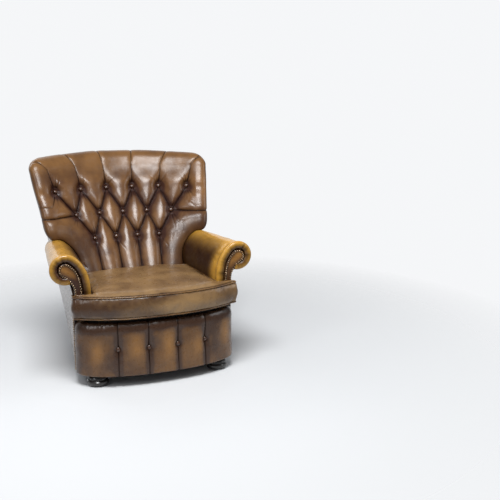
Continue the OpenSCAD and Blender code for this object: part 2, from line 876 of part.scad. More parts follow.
nail_h = 3.2;
nail_sink = 0.25;
module nail() {
    dome = [for (turn = [0:22.5:90]) [nail_r * cos(turn), nail_sink + nail_h * sin(turn)]];
    rotate_extrude($fn = 16)
        polygon(concat([[0, nail_sink]], dome));
}
nail_inset = 6.5;
nail_low_h = 440;
function path_len(line) = len(line) < 2 ? 0 : let (sums = [
    for (
        i = 0, total = 0;
        i < len(line);
        total = total + (i + 1 < len(line) ? norm(line[i + 1] - line[i]) : 0), i = i + 1
    ) total
]) sums;
function along(line, sums, d) =
    let (
        after = [for (i = [0:len(sums) - 1]) if (sums[i] >= d) i],
        j = len(after) > 0 ? max(1, after[0]) : len(sums) - 1,
        t = share01((d - sums[j - 1]) / (sums[j] - sums[j - 1]))
    )
    mix(line[j - 1], line[j], t);
module facing_nails() {
    line = core_outline(nail_low_h, -nail_inset);
    sums = path_len(line);
    total = sums[len(sums) - 1];
    count = floor(total / nail_gap);
    color(brass)
        for (i = [0:count]) {
            p = along(line, sums, total * i / count);
            translate([p[0], arm_front_y + facing_recess, p[1]])
                rotate([90, 0, 0])
                    nail();
        }
}

// Outside arm: a thin panel from the hem up to the neck of the scroll
scroll_room = 10;
panel_top_h = scroll_z_front - scroll_r_front - scroll_room;
flare_h = 44;
panel_bend_h = panel_top_h - flare_h;
panel_flare = 8;
module outside_arm() {
    steps = 8;
    rings = [
        for (i = [0:steps])
            let (
                y = mix(side_front_y, outside_inner_y(rear_half_w(panel_top_h), hem_h), i / steps),
                low = side_x(y, hem_h),
                bend = side_x(y, panel_bend_h),
                top = side_x(y, panel_top_h) + panel_flare * (1 - i / steps)
            )
            [
                [low - panel_t, y, hem_h],
                [bend - panel_t, y, panel_bend_h],
                [top - panel_t, y, panel_top_h],
                [top, y, panel_top_h],
                [bend, y, panel_bend_h],
                [low, y, hem_h]
            ]
    ];
    color(leather_pale) skin(rings);
}
side_nail_low_h = 72;
side_nail_inset = 8;
module side_nails() {
    high = panel_bend_h - nail_r - clear;
    count = floor((high - side_nail_low_h) / nail_gap);
    y = side_front_y + side_nail_inset;
    color(brass)
        for (i = [0:count]) {
            z = mix(side_nail_low_h, high, i / count);
            turn = atan((base_front_half_w - rear_half_w(z)) / (base_rear_y - side_front_y));
            translate([side_x(y, z), y, z])
                rotate([0, 90, turn])
                    nail();
        }
}

module outside_wing() {
    steps = 10;
    low = panel_top_h + 2 * clear;
    rings = [
        for (i = [0:steps])
            let (
                z = mix(low, crest_top_h - seat_gap, i / steps),
                out = rear_half_w(z),
                behind_pad = max(back_post_front_y, back_y(out, z) + pad_t(z) + wing_gap),
                front = z < wing_foot_h ? back_post_front_y : min(post_front_y(z), behind_pad),
                rear = outside_inner_y(out, z)
            )
            [
                [out - panel_t, front, z],
                [out, front, z],
                [out, rear, z],
                [out - panel_t, rear, z]
            ]
    ];
    color(leather) skin(rings);
}
wing_gap = 4;

outside_rise = 18;
outside_top_h = crest_top_h + outside_rise;
module outside_back() {
    rows = 10;
    steps = 20;
    levels = concat([for (i = [0:rows]) mix(hem_h, crest_top_h, i / rows)], [outside_top_h]);
    rings = [
        for (z = levels)
            let (half = rear_half_w(min(z, crest_top_h)))
            concat(
                [for (k = [0:steps]) let (x = mix(-half, half, k / steps)) [x, outside_y(x, z) - panel_t, z]],
                [for (k = [steps:-1:0]) let (x = mix(-half, half, k / steps)) [x, outside_y(x, z), z]]
            )
    ];
    color(leather) skin(rings);
}
back_nail_gap = 26;
back_nail_inset = 9;
module back_nails() {
    low = side_nail_low_h;
    high = crest_top_h - back_nail_inset;
    count = floor((high - low) / back_nail_gap);
    color(brass)
        for (i = [0:count]) {
            z = mix(low, high, i / count);
            x = rear_half_w(z) - back_nail_inset;
            rise = outside_crest_y - base_rear_y - outside_bend * x * x;
            rake = atan(rise / (crest_top_h - hem_h));
            lean = atan(2 * outside_way(z) * outside_bend * x);
            translate([x, outside_y(x, z), z])
                rotate([-90 - rake, 0, -lean])
                    nail();
        }
}

dust_t = 3;
module dust_cover() {
    steps = 20;
    half = post_foot_x;
    corner_x = post_out_x(frame_low_h) - clear;
    front = [for (i = [0:steps]) let (x = mix(-half, half, i / steps)) [x, bow_y(x, front_rail_inset)]];
    sides = [
        [post_foot_x + post_foot_w, post_y + seat_gap],
        [side_x(post_rear_y, frame_low_h) - panel_t - clear, post_rear_y],
        [side_x(back_post_front_y, frame_low_h) - panel_t - 2 * clear, back_post_front_y],
        [corner_x, outside_inner_y(corner_x, frame_low_h)]
    ];
    color(cloth)
        difference() {
            translate([0, 0, frame_low_h - dust_t - seat_gap / 3])
                linear_extrude(dust_t)
                    polygon(concat(front, sides, [for (i = [3:-1:0]) [-sides[i][0], sides[i][1]]]));
            for (p = foot_places())
                translate([p[0], p[1], frame_low_h - dust_t - overrun])
                    cylinder(h = dust_t + 2 * overrun, r = spigot_r + clear, $fn = smooth_fn);
        }
}

// Bun foot, turned: base disc, waist, bead and neck, and a spigot up to the frame
foot_neck_share = 0.74;
spigot_r = 18;
foot_profile_shares = [
    [0.84, 0.02], [0.94, 0.1], [1, 0.24], [0.98, 0.4], [0.88, 0.5], [0.8, 0.54], [0.79, 0.6],
    [0.86, 0.66], [0.9, 0.74], [0.86, 0.82], [0.74, 0.87]
];
glide_t = 3;
function foot_places() = [
    [foot_front_x, foot_front_y], [-foot_front_x, foot_front_y],
    [foot_rear_x, foot_rear_y], [-foot_rear_x, foot_rear_y]
];
module bun_foot(place) {
    tall = hem_h - seat_gap - glide_t;
    top = frame_low_h - seat_gap - glide_t;
    hole_r = bolt_r + seat_gap;
    color(black)
        translate([place[0], place[1], glide_t])
            rotate_extrude($fn = smooth_fn)
                polygon(concat(
                    [[0, 0], [foot_r * foot_profile_shares[0][0], 0]],
                    [for (s = foot_profile_shares) [foot_r * s[0], tall * s[1]]],
                    [[foot_r * foot_neck_share, tall], [spigot_r, tall], [spigot_r, top]],
                    [[hole_r, top], [hole_r, top - bolt_depth], [0, top - bolt_depth]]
                ));
}
bolt_r = 5;
bolt_depth = 30;
module foot_bolts() {
    color(steel)
        for (p = foot_places())
            translate([p[0], p[1], frame_low_h - bolt_depth])
                cylinder(h = bolt_depth, r = bolt_r, $fn = smooth_fn);
}
glide_r = 20;
module foot_glides() {
    color(black)
        for (p = foot_places())
            translate([p[0], p[1], 0])
                cylinder(h = glide_t, r = glide_r, $fn = smooth_fn);
}

// Loose seat cushion: half outline from the front middle round the right corner to the rear
ear_gap = 1.5;
cushion_side_gap = 2;
cushion_rear_gap = 3;
corner_r = 16;
cushion_power = 2.6;
function cushion_rear_y(x) =
    back_y(min(abs(x), back_low_half_w), seat_line_h) - tuft_depth - cushion_rear_gap;
function cushion_bow_y(x) =
    mix(cushion_front_y, cushion_corner_y, pow(abs(x) / (cushion_half_w - corner_r), cushion_power));
function cushion_side_x(y) = arm_in_x(y) - cushion_side_gap;
function arc(centre, r, from, to, steps) =
    [for (i = [0:steps]) centre + r * [cos(mix(from, to, i / steps)), sin(mix(from, to, i / steps))]];
bow_shares = [0.04, 0.2, 0.36, 0.52, 0.67, 0.8, 0.9, 0.97];
side_shares = [0.02, 0.1, 0.3, 0.55, 0.8, 0.93];
rear_shares = [0.82, 0.6, 0.36, 0.12];
function half_outline() =
    let (
        bow_end = cushion_half_w - corner_r,
        ear_y = arm_front_y - ear_gap,
        front = [for (s = bow_shares) [bow_end * s, cushion_bow_y(bow_end * s)]],
        tip_r = (ear_y - cushion_corner_y) / 2,
        tip = arc([cushion_half_w - tip_r, ear_y - tip_r], tip_r, -55, 90, 4),
        notch_x = cushion_side_x(ear_y),
        ear = [[mix(cushion_half_w, notch_x, 0.5), ear_y], [notch_x + 4 * ear_gap, ear_y]],
        corner_y = cushion_rear_y(back_low_half_w),
        side = [for (s = side_shares) let (y = mix(ear_y, corner_y, s)) [cushion_side_x(y), y]],
        rear_half = cushion_side_x(corner_y),
        rear = concat(
            arc([rear_half - corner_r, corner_y - corner_r], corner_r, 20, 90, 2),
            [for (s = rear_shares) [rear_half * s, cushion_rear_y(rear_half * s)]]
        )
    )
    concat(front, tip, ear, side, rear);
function whole(half) =
    concat(half, [for (i = [len(half) - 1:-1:0]) [-half[i][0], half[i][1]]]);
outline = whole(half_outline());
function inset_loop(loop, by) =
    let (n = len(loop))
    [
        for (j = [0:n - 1])
            let (d = unit(loop[(j + 1) % n] - loop[(j + n - 1) % n]))
            loop[j] - by * [d[1], -d[0]]
    ];
medial_front_y = cushion_corner_y - 8;
medial_rear_y = -30;
medial_share = 0.05;
function toward_middle(p, t) =
    mix([p[0] * medial_share, min(max(p[1], medial_front_y), medial_rear_y)], p, t);
function crown_at(t) = swell(1 - t);
top_ring_shares = [0.975, 0.9, 0.75, 0.5, 0.2];
under_shares = [0.3, 0.65, 0.93];
under_fall = seam_low_h - deck_h - seat_gap;
boxing_inset_share = 0.6;
function loop_at(loop, z) = [for (p = loop) [p[0], p[1], z]];
module cushion_form() {
    seam = inset_loop(outline, 2 * piping_r + clear);
    full = inset_loop(outline, piping_r * boxing_inset_share);
    mid_h = (seam_low_h + seam_high_h) / 2;
    quarter = (seam_high_h - seam_low_h) / 4;
    under = [
        for (s = under_shares)
            let (z = seam_low_h - under_fall * swell(2 * (1 - s)))
            [for (p = seam) let (q = toward_middle(p, s)) [q[0], q[1], z]]
    ];
    boxing = [
        loop_at(seam, seam_low_h),
        loop_at(inset_loop(outline, piping_r), seam_low_h + quarter),
        loop_at(full, mid_h),
        loop_at(inset_loop(outline, piping_r), seam_high_h - quarter),
        loop_at(seam, seam_high_h)
    ];
    over = [
        for (s = top_ring_shares)
            [for (p = seam) let (q = toward_middle(p, s)) [q[0], q[1], seam_high_h + seat_crown * crown_at(s)]]
    ];
    skin(concat(under, boxing, over));
}
core_margin = 40;
core_low_gap = 12;
function core_loop(gap) =
    [
        [-(arm_in_rear - core_margin - gap), core_rear_y - gap],
        [-(arm_in_front - core_margin - gap), arm_front_y + core_margin],
        [-(arm_in_front - core_margin - gap), cushion_corner_y + core_margin / 2 + gap],
        [0, cushion_corner_y + gap],
        [arm_in_front - core_margin - gap, cushion_corner_y + core_margin / 2 + gap],
        [arm_in_front - core_margin - gap, arm_front_y + core_margin],
        [arm_in_rear - core_margin - gap, core_rear_y - gap]
    ];
core_rear_y = cushion_rear_y(arm_in_rear) - core_margin / 2;
module core_block(gap) {
    translate([0, 0, seam_low_h + core_low_gap + gap])
        linear_extrude(seam_high_h - seam_low_h - 2 * core_low_gap - 2 * gap)
            polygon(core_loop(gap));
}
module seat_cushion() {
    color(leather)
        difference() {
            cushion_form();
            core_block(0);
        }
}
module seat_cushion_core() {
    color(foam) core_block(seat_gap);
}
piping_sides = 6;
module piping(z) {
    path = inset_loop(outline, piping_r);
    n = len(path);
    rings = [
        for (j = [0:n])
            let (
                d = unit(path[(j + 1) % n] - path[(j + n - 1) % n]),
                out = [d[1], -d[0]],
                p = path[j % n]
            )
            [
                for (k = [0:piping_sides - 1])
                    let (turn = 360 * k / piping_sides, o = out * piping_r * cos(turn))
                    [p[0] + o[0], p[1] + o[1], z + piping_r * sin(turn)]
            ]
    ];
    points = [for (j = [0:n - 1]) each rings[j]];
    faces = [
        for (j = [0:n - 1], k = [0:piping_sides - 1])
            let (
                a = j * piping_sides + k,
                b = j * piping_sides + (k + 1) % piping_sides,
                c = ((j + 1) % n) * piping_sides + (k + 1) % piping_sides,
                d = ((j + 1) % n) * piping_sides + k
            )
            each [[a, b, c], [a, c, d]]
    ];
    color(leather_tan) polyhedron(points, faces, convexity = 6);
}
module piping_top() {
    piping(seam_high_h);
}
module piping_bottom() {
    piping(seam_low_h);
}
zip_half = 190;
zip_h = 6;
zip_t = 1.5;
module cushion_zip() {
    steps = 16;
    xs = [for (i = [0:steps]) mix(-zip_half, zip_half, i / steps)];
    lift = seat_gap - piping_r * boxing_inset_share;
    color(steel)
        translate([0, 0, (seam_low_h + seam_high_h - zip_h) / 2])
            linear_extrude(zip_h)
                polygon(concat(
                    [for (x = xs) [x, cushion_rear_y(x) + lift]],
                    [for (i = [steps:-1:0]) [xs[i], cushion_rear_y(xs[i]) + lift + zip_t]]
                ));
}

module both(side) {
    if (side == "right") children();
    if (side == "left") mirror([1, 0, 0]) children();
}

front_rail();
back_rail();
both("left") side_rail();  // side_rail_left
both("right") side_rail();  // side_rail_right
corner_blocks();
both("left") front_post();  // front_post_left
both("right") front_post();  // front_post_right
both("left") back_post();  // back_post_left
both("right") back_post();  // back_post_right
crest_rail();
spring_rail();
back_low_rail();
both("left") arm_rail();  // arm_rail_left
both("right") arm_rail();  // arm_rail_right
both("left") arm_board();  // arm_board_left
both("right") arm_board();  // arm_board_right
seat_springs();
spring_clips();
seat_platform();
back_straps_upright();
back_straps_level();
back_pad();
back_buttons_top();
back_buttons_middle();
back_buttons_bottom();
front_border();
border_buttons();
both("left") arm_pad();  // arm_pad_left
both("right") arm_pad();  // arm_pad_right
both("left") arm_facing();  // arm_facing_left
both("right") arm_facing();  // arm_facing_right
both("left") facing_nails();  // facing_nails_left
both("right") facing_nails();  // facing_nails_right
both("left") outside_arm();  // outside_arm_left
both("right") outside_arm();  // outside_arm_right
both("left") side_nails();  // side_nails_left
both("right") side_nails();  // side_nails_right
both("left") outside_wing();  // outside_wing_left
both("right") outside_wing();  // outside_wing_right
outside_back();
both("left") back_nails();  // back_nails_left
both("right") back_nails();  // back_nails_right
dust_cover();
bun_foot(foot_places()[1]);  // foot_front_left
bun_foot(foot_places()[0]);  // foot_front_right
bun_foot(foot_places()[3]);  // foot_rear_left
bun_foot(foot_places()[2]);  // foot_rear_right
foot_bolts();
foot_glides();
seat_cushion();
seat_cushion_core();
piping_top();
piping_bottom();
cushion_zip();
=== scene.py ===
# %% [markdown]
# # A buttoned leather armchair
# The chair comes in as a frame: every hard piece at its real size and place, in metres, with +Z up
# and the front towards -Y. This lesson dresses that frame. Leather, padding and trim are made here
# as fine meshes, and each one sits in the space that its plain solid holds.

# %% Load the frame
import json
import math

import bmesh
import bpy
import numpy as np
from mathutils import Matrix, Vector


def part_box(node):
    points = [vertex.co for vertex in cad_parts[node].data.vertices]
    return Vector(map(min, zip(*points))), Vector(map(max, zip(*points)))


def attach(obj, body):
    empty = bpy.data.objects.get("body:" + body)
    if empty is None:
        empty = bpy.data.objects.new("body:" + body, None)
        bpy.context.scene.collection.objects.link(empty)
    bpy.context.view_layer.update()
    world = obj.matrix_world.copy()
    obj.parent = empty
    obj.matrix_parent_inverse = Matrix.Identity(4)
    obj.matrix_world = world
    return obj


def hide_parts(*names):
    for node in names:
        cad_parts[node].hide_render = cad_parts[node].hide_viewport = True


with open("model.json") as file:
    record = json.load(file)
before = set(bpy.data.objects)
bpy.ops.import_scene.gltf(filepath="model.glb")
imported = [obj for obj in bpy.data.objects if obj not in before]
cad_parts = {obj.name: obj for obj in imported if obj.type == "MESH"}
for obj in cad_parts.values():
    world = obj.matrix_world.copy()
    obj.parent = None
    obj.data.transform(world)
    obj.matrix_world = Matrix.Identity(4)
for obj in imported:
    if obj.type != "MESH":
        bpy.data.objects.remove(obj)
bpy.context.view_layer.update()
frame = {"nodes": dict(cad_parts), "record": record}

mm = 0.001
both_sides = ((-1, "left"), (1, "right"))
print("nodes in the frame:", len(frame["nodes"]))

# %% [markdown]
# ## Camera
# The photograph was taken from the left of the chair, a little above its back, with a lens of
# about 54 mm. A plain camera with a place, a direction and a lens is all that it needs.

# %% Camera
camera_place = Vector((-0.875, -3.724, 1.343))
camera_direction = Vector((0.36806, 0.90626, -0.20793))
camera_lens = 53.8
camera_data = bpy.data.cameras.new("camera")
camera_data.lens = camera_lens
camera_data.sensor_width = 36
camera = bpy.data.objects.new("camera", camera_data)
camera.location = camera_place
camera.rotation_euler = camera_direction.to_track_quat("-Z", "Y").to_euler()
bpy.context.scene.collection.objects.link(camera)
bpy.context.scene.camera = camera
print("camera stands", round(-camera_place.y, 2), "m before the chair")

# %% [markdown]
# ## Helpers for meshes
# Most leather here is a grid of points that a formula bends into shape. NumPy works out all the
# points at once, and these helpers turn such a grid into an object. A named number on each point,
# an attribute, carries facts such as "this lies deep in a pleat" over to the material.

# %% Helpers for meshes
def grid_faces(rows, columns, round_again=False):
    """Quads of a grid of points, row after row; round_again joins the last column to the first."""
    spans = columns if round_again else columns - 1
    r, c = np.meshgrid(np.arange(rows - 1), np.arange(spans), indexing="ij")
    a = r * columns + c
    b = r * columns + (c + 1) % columns
    return np.stack([a, b, b + columns, a + columns], axis=-1).reshape(-1, 4)


def new_object(name, data):
    """An object of some data, placed in the scene."""
    made = bpy.data.objects.new(name, data)
    bpy.context.scene.collection.objects.link(made)
    return made


def number_points(mesh, attributes):
    """Puts named numbers on the points of a mesh."""
    for key, values in attributes.items():
        layer = mesh.attributes.new(key, "FLOAT", "POINT")
        layer.data.foreach_set("value", np.asarray(values, np.float32).ravel())


def mesh_object(name, points, faces, material, attributes=None):
    """An object of a mesh with smooth faces, one material and named numbers on its points."""
    mesh = bpy.data.meshes.new(name)
    mesh.from_pydata(np.asarray(points, float).reshape(-1, 3).tolist(), [], [list(f) for f in faces])
    number_points(mesh, attributes or {})
    mesh.polygons.foreach_set("use_smooth", np.ones(len(mesh.polygons), bool))
    mesh.materials.append(material)
    return new_object(name, mesh)


def evaluated(made):
    """The object as its modifiers leave it."""
    return made.evaluated_get(bpy.context.evaluated_depsgraph_get())


def tidy_mesh(made, merge=0.0, outward=True):
    """Merges doubled points, drops loose ones and turns all faces outwards."""
    shape = bmesh.new()
    shape.from_mesh(made.data)
    if merge > 0:
        bmesh.ops.remove_doubles(shape, verts=shape.verts, dist=merge)
    loose = [v for v in shape.verts if not v.link_faces]
    bmesh.ops.delete(shape, geom=loose, context="VERTS")
    if outward:
        bmesh.ops.recalc_face_normals(shape, faces=shape.faces)
    shape.to_mesh(made.data)
    shape.free()
    made.data.update()


def close_mesh(made, bridge=False):
    """Closes a shell: a band joins its two open edges, or a face fills each open edge."""
    shape = bmesh.new()
    shape.from_mesh(made.data)
    edges = [e for e in shape.edges if e.is_boundary]
    if bridge:
        bmesh.ops.bridge_loops(shape, edges=edges)
    else:
        bmesh.ops.holes_fill(shape, edges=edges, sides=0)
    bmesh.ops.recalc_face_normals(shape, faces=shape.faces)
    shape.to_mesh(made.data)
    shape.free()


def dress(made, slot, *nodes, body="chair", fill=None):
    """Puts a finished piece on its body and hides the solids that it stands for. Its slot, the name of a
    finish, is not used.
    """
    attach(made, body)
    if nodes:
        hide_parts(*nodes)
    print(made.name, len(made.data.polygons), "faces")
    return made


def mix(a, b, t):
    """From a at t = 0 to b at t = 1."""
    return a + (b - a) * t


def share01(t):
    return np.clip(t, 0.0, 1.0)


def ease(t):
    u = share01(t)
    return u * u * (3 - 2 * u)


def swell(t):
    """Rises steeply from 0 and levels out at 1, like leather that comes up out of a pleat."""
    u = share01(t)
    return np.sqrt(u * (2 - u))


def unit(vectors):
    """The same directions with length 1."""
    return vectors / np.linalg.norm(vectors, axis=-1, keepdims=True)


def run_lengths(line):
    """Length along a line of flat points, from its first point to each."""
    return np.concatenate([[0], np.cumsum(np.hypot(*np.diff(line, axis=0).T))])


def soft_noise(points, size, seed):
    """Smooth noise between about -1 and 1, as a sum of sine waves of about one size."""
    waves = 9
    draw = np.random.default_rng(seed)
    total = np.zeros(points.shape[:-1])
    for _ in range(waves):
        direction = draw.normal(size=3)
        direction /= np.linalg.norm(direction)
        pace = 2 * math.pi / (size * draw.uniform(0.7, 1.5))
        total += np.sin(points @ direction * pace + draw.uniform(0, 2 * math.pi))
    return total / math.sqrt(waves) / 1.4


print("a grid of 3 by 3 points has", len(grid_faces(3, 3)), "faces")

# %% [markdown]
# ## Helpers for materials
# A material is a small tree of nodes. One helper adds a node, sets its choices and joins or sets its
# inputs, so that each finish below reads as a short recipe. Patterns use Object coordinates, which
# stay with the piece.

# %% Helpers for materials
def add_node(tree, kind, inputs=None, **settings):
    made = tree.nodes.new(kind)
    for key, value in settings.items():
        setattr(made, key, value)
    for key, value in (inputs or {}).items():
        if isinstance(value, bpy.types.NodeSocket):
            tree.links.new(value, made.inputs[key])
        else:
            made.inputs[key].default_value = value
    return made


def new_material(name):
    material = bpy.data.materials.new(name)
    material.use_nodes = True
    tree = material.node_tree
    shader = next(n for n in tree.nodes if n.type == "BSDF_PRINCIPLED")
    return material, tree, shader


def noise(tree, place, scale, detail=4.0, roughness=0.55):
    made = add_node(tree, "ShaderNodeTexNoise", {"Vector": place, "Scale": scale, "Detail": detail})
    made.inputs["Roughness"].default_value = roughness
    return made.outputs["Fac"]


def levels(tree, value, low, high, out_low=0.0, out_high=1.0):
    """Maps low..high of a value to out_low..out_high, and holds it there."""
    made = add_node(tree, "ShaderNodeMapRange", {
        "Value": value, "From Min": low, "From Max": high, "To Min": out_low, "To Max": out_high,
    })
    return made.outputs["Result"]


def blend_colours(tree, share, first, second):
    """The first colour where share is 0, the second where it is 1."""
    colours = [c if isinstance(c, bpy.types.NodeSocket) else (*c, 1.0) for c in (first, second)]
    ends = {0: share, 6: colours[0], 7: colours[1]}
    return add_node(tree, "ShaderNodeMix", ends, data_type="RGBA").outputs[2]


def arithmetic(tree, operation, first, second):
    """One step of arithmetic on two values."""
    return add_node(tree, "ShaderNodeMath", {0: first, 1: second}, operation=operation).outputs[0]


def weighted_sum(tree, *terms):
    """Sum of values, each times its weight."""
    parts = [arithmetic(tree, "MULTIPLY", value, weight) for value, weight in terms]
    total = parts[0]
    for part in parts[1:]:
        total = arithmetic(tree, "ADD", total, part)
    return total


def attribute(tree, name):
    return add_node(tree, "ShaderNodeAttribute", attribute_name=name).outputs["Fac"]


print("a recipe can now use noise, levels, blends, sums and the numbers on points")

# %% [markdown]
# ## Leather
# Antiqued hide has a pale or tan ground, a darker glaze that wears off where people touch it and
# stays in the pleats, and a glossy lacquer. So the recipe has three colours: the ground, the glaze
# and a near-black painted shade for pleats, creases, seams and pits. Two attributes steer them: the
# first is 1 deep in a fold, where the shade is painted and the shine fades too, and the second is 1
# where the glaze is rubbed away; on the arms it also paints shade on the inner faces. A photograph
# of hide could be wrapped round each piece instead, but it would show seams and repeat, so the
# patches come from noise. Pores and fine creases come from bump, all larger shapes from the mesh.

# %% Leather
# Near-black colour of the shade painted into pleats, creases, seams and pits.
pleat_shade_colour = (0.010, 0.003, 0.002)
open_specular, pleat_specular = 0.38, 0.04
lacquer_roughness = 0.26
grain_depth = 0.9 * mm


def leather(name, ground, glaze, shine=0.28, patchy=0.5, grain=0.26, cloud=9.0, coat=0.28):
    """Hide: shine is its roughness, patchy how uneven the glaze is, grain the strength of its bump."""
    material, tree, shader = new_material(name)
    place = add_node(tree, "ShaderNodeTexCoord").outputs["Object"]
    clouds = levels(tree, noise(tree, place, cloud, 3.0), 0.36, 0.66)
    streaks = levels(tree, noise(tree, place, 38.0, 2.0, 0.5), 0.35, 0.7)
    rubbed = weighted_sum(tree, (clouds, patchy), (streaks, patchy * 0.16), (attribute(tree, "wear_and_shade"), 1.0))
    surface = blend_colours(tree, levels(tree, rubbed, 0.0, 1.15), glaze, ground)
    # Painted shade: where the fold value is high, the colour goes towards near black.
    fold_shade = levels(tree, attribute(tree, "fold_shade"), 0.02, 0.9)
    tree.links.new(blend_colours(tree, fold_shade, surface, pleat_shade_colour), shader.inputs["Base Color"])
    gloss = levels(tree, noise(tree, place, 55.0, 3.0), 0.3, 0.7, shine - 0.04, shine + 0.07)
    tree.links.new(weighted_sum(tree, (gloss, 1.0), (fold_shade, 0.12)), shader.inputs["Roughness"])
    specular = levels(tree, fold_shade, 0.0, 1.0, open_specular, pleat_specular)
    tree.links.new(specular, shader.inputs["Specular IOR Level"])
    tree.links.new(levels(tree, fold_shade, 0.0, 1.0, coat, 0.0), shader.inputs["Coat Weight"])
    shader.inputs["Coat Roughness"].default_value = lacquer_roughness
    pores = add_node(tree, "ShaderNodeTexVoronoi", {"Vector": place, "Scale": 620.0}, feature="F1")
    cells = add_node(tree, "ShaderNodeTexVoronoi", {"Vector": place, "Scale": 230.0},
                     feature="DISTANCE_TO_EDGE")
    creases = levels(tree, cells.outputs["Distance"], 0.0, 0.12, 0.0, 0.2)
    height = weighted_sum(tree, (pores.outputs["Distance"], 0.1), (creases, 1.0),
                          (noise(tree, place, 70.0), 1.4), (noise(tree, place, 24.0), 1.8))
    bump = add_node(tree, "ShaderNodeBump", {"Height": height, "Strength": grain, "Distance": grain_depth})
    tree.links.new(bump.outputs["Normal"], shader.inputs["Normal"])
    return material


back_leather = leather("back_leather", (0.235, 0.112, 0.036), (0.046, 0.016, 0.009), shine=0.30,
                       patchy=0.62, cloud=7.0)
border_leather = leather("border_leather", (0.34, 0.158, 0.038), (0.052, 0.023, 0.011), patchy=0.42,
                         cloud=6.0)
arm_leather = leather("arm_leather", (0.58, 0.300, 0.042), (0.060, 0.022, 0.008), patchy=0.20, grain=0.12)
facing_leather = leather("facing_leather", (0.33, 0.150, 0.033), (0.050, 0.019, 0.009))
seat_leather = leather("seat_leather", (0.325, 0.192, 0.080), (0.066, 0.030, 0.013), shine=0.29, grain=0.06)
side_leather = leather("side_leather", (0.120, 0.060, 0.028), (0.060, 0.030, 0.015), grain=0.08, coat=0.7)
piping_leather = leather("piping_leather", (0.25, 0.13, 0.042), (0.10, 0.046, 0.017), patchy=0.8, grain=0.12)
button_leather = leather("button_leather", (0.12, 0.052, 0.020), (0.048, 0.017, 0.009), coat=0.6)
print("leathers:", sum(m.name.endswith("leather") for m in bpy.data.materials))

# %% [markdown]
# ## The back: base surface
# The inside back is a shallow barrel that leans back. Its depth at the pleats is a formula of the
# width x and the height z, and the spacing of the buttons grows with the height, so the diamonds
# fan out. Everything on the back is placed with these functions.

# %% Base surface of the back
seat_line_h = 421 * mm
back_root_y = 85 * mm
back_slope = 0.643
back_bend_h = 960 * mm
pitch_low = 98 * mm
pitch_growth = 0.112
barrel_low = 4 * mm
barrel_growth = 0.027
row_low_h = 581 * mm
row_mid_h = 701 * mm
row_top_h = 826 * mm


def pitch(z):
    return pitch_low + pitch_growth * (z - seat_line_h)


def back_base(x, z):
    h = np.clip(z, seat_line_h, back_bend_h)
    middle = back_root_y + back_slope * (h - seat_line_h)
    return middle - (x / pitch(h)) ** 2 * (barrel_low + barrel_growth * (h - seat_line_h))


hem_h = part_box("outside_back")[0].z
crest_h = 944 * mm
rear_low_half = 318 * mm
rear_crest_half = 460 * mm
rear_low_y = 250 * mm
roll_start_h = 945 * mm
rear_crest_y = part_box("outside_back")[1].y
rear_bend = (barrel_low + barrel_growth * (roll_start_h - seat_line_h)) / pitch(roll_start_h) ** 2


def rear_half(z):
    return mix(rear_low_half, rear_crest_half, (np.minimum(z, crest_h) - hem_h) / (crest_h - hem_h))


def rear_face(x, z):
    t = share01((z - hem_h) / (crest_h - hem_h))
    return mix(rear_low_y, rear_crest_y, t) - t * rear_bend * x * x


print("back leans from y", round(float(back_base(0, seat_line_h)), 3), "to",
      round(float(back_base(0, back_bend_h)), 3))

# %% [markdown]
# ## The back: pleats and buttons
# Each pleat is a straight run from button to button. Between the rows they cross into diamonds, and
# below the bottom row they make the upright channels. A smooth minimum of the distances to all these
# pleats gives the swelling between them, so each pillow is a round dome without a ridge. Above the
# top row and beside the middle row the pleats run out shallow, so those carry a depth that fades.

# %% Pleats and buttons
def row_x(place, z):
    return place * pitch(z)


top_places = np.arange(-2.5, 3)
mid_places = np.arange(-2.0, 3)
low_places = np.arange(-1.5, 2)
wing_half_low = 430 * mm
wing_half_top = 481 * mm
full_pleats, fading_pleats = [], []
for k in mid_places:
    for step in (-0.5, 0.5):
        full_pleats.append(((row_x(k, row_mid_h), row_mid_h), (row_x(k + step, row_top_h), row_top_h)))
for k in low_places:
    for step in (-0.5, 0.5):
        full_pleats.append(((row_x(k, row_low_h), row_low_h), (row_x(k + step, row_mid_h), row_mid_h)))
    full_pleats.append(((row_x(k, row_low_h), row_low_h), (row_x(k, seat_line_h), 0.30)))
for k in top_places:
    fading_pleats.append(((row_x(k, row_top_h), row_top_h), (row_x(k, roll_start_h), roll_start_h),
                          (0.95, 0.10), (50 * mm, 24 * mm)))
for side in (-1, 1):
    fading_pleats.append(((side * row_x(2, row_mid_h), row_mid_h), (side * wing_half_top, row_mid_h),
                          (0.9, 0.10), (46 * mm, 14 * mm)))
back_buttons = np.array(
    [(row_x(k, row_top_h), row_top_h) for k in top_places]
    + [(row_x(k, row_mid_h), row_mid_h) for k in mid_places]
    + [(row_x(k, row_low_h), row_low_h) for k in low_places]
)
tuft_depth = 28 * mm
tuft_height = 33 * mm
pillow_reach = 54 * mm
pillow_power = 2.0
pit_depth = 9 * mm
button_soft = 25 * mm
pit_soft = 12 * mm
pleat_w, fading_pleat_w, pleat_shade_w = 3.1 * mm, 2.8 * mm, 11 * mm
button_shade_w = 13 * mm
sharpness = 4.0


def run_distance(x, z, start, end):
    """Distance to a pleat, and how far along it the nearest place lies, from 0 to 1."""
    way = np.subtract(end, start)
    t = share01(((x - start[0]) * way[0] + (z - start[1]) * way[1]) / (way @ way))
    return np.hypot(x - start[0] - way[0] * t, z - start[1] - way[1] * t), t


def pillow(u):
    """Profile of a pillow: steep where it leaves the pleat and level on its top."""
    rounded = 1 - (1 - share01(u)) ** pillow_power
    return 0.58 * rounded + 0.42 * swell(u)


def button_distance(x, z):
    return np.min([np.hypot(x - bx, z - bz) for bx, bz in back_buttons], axis=0)


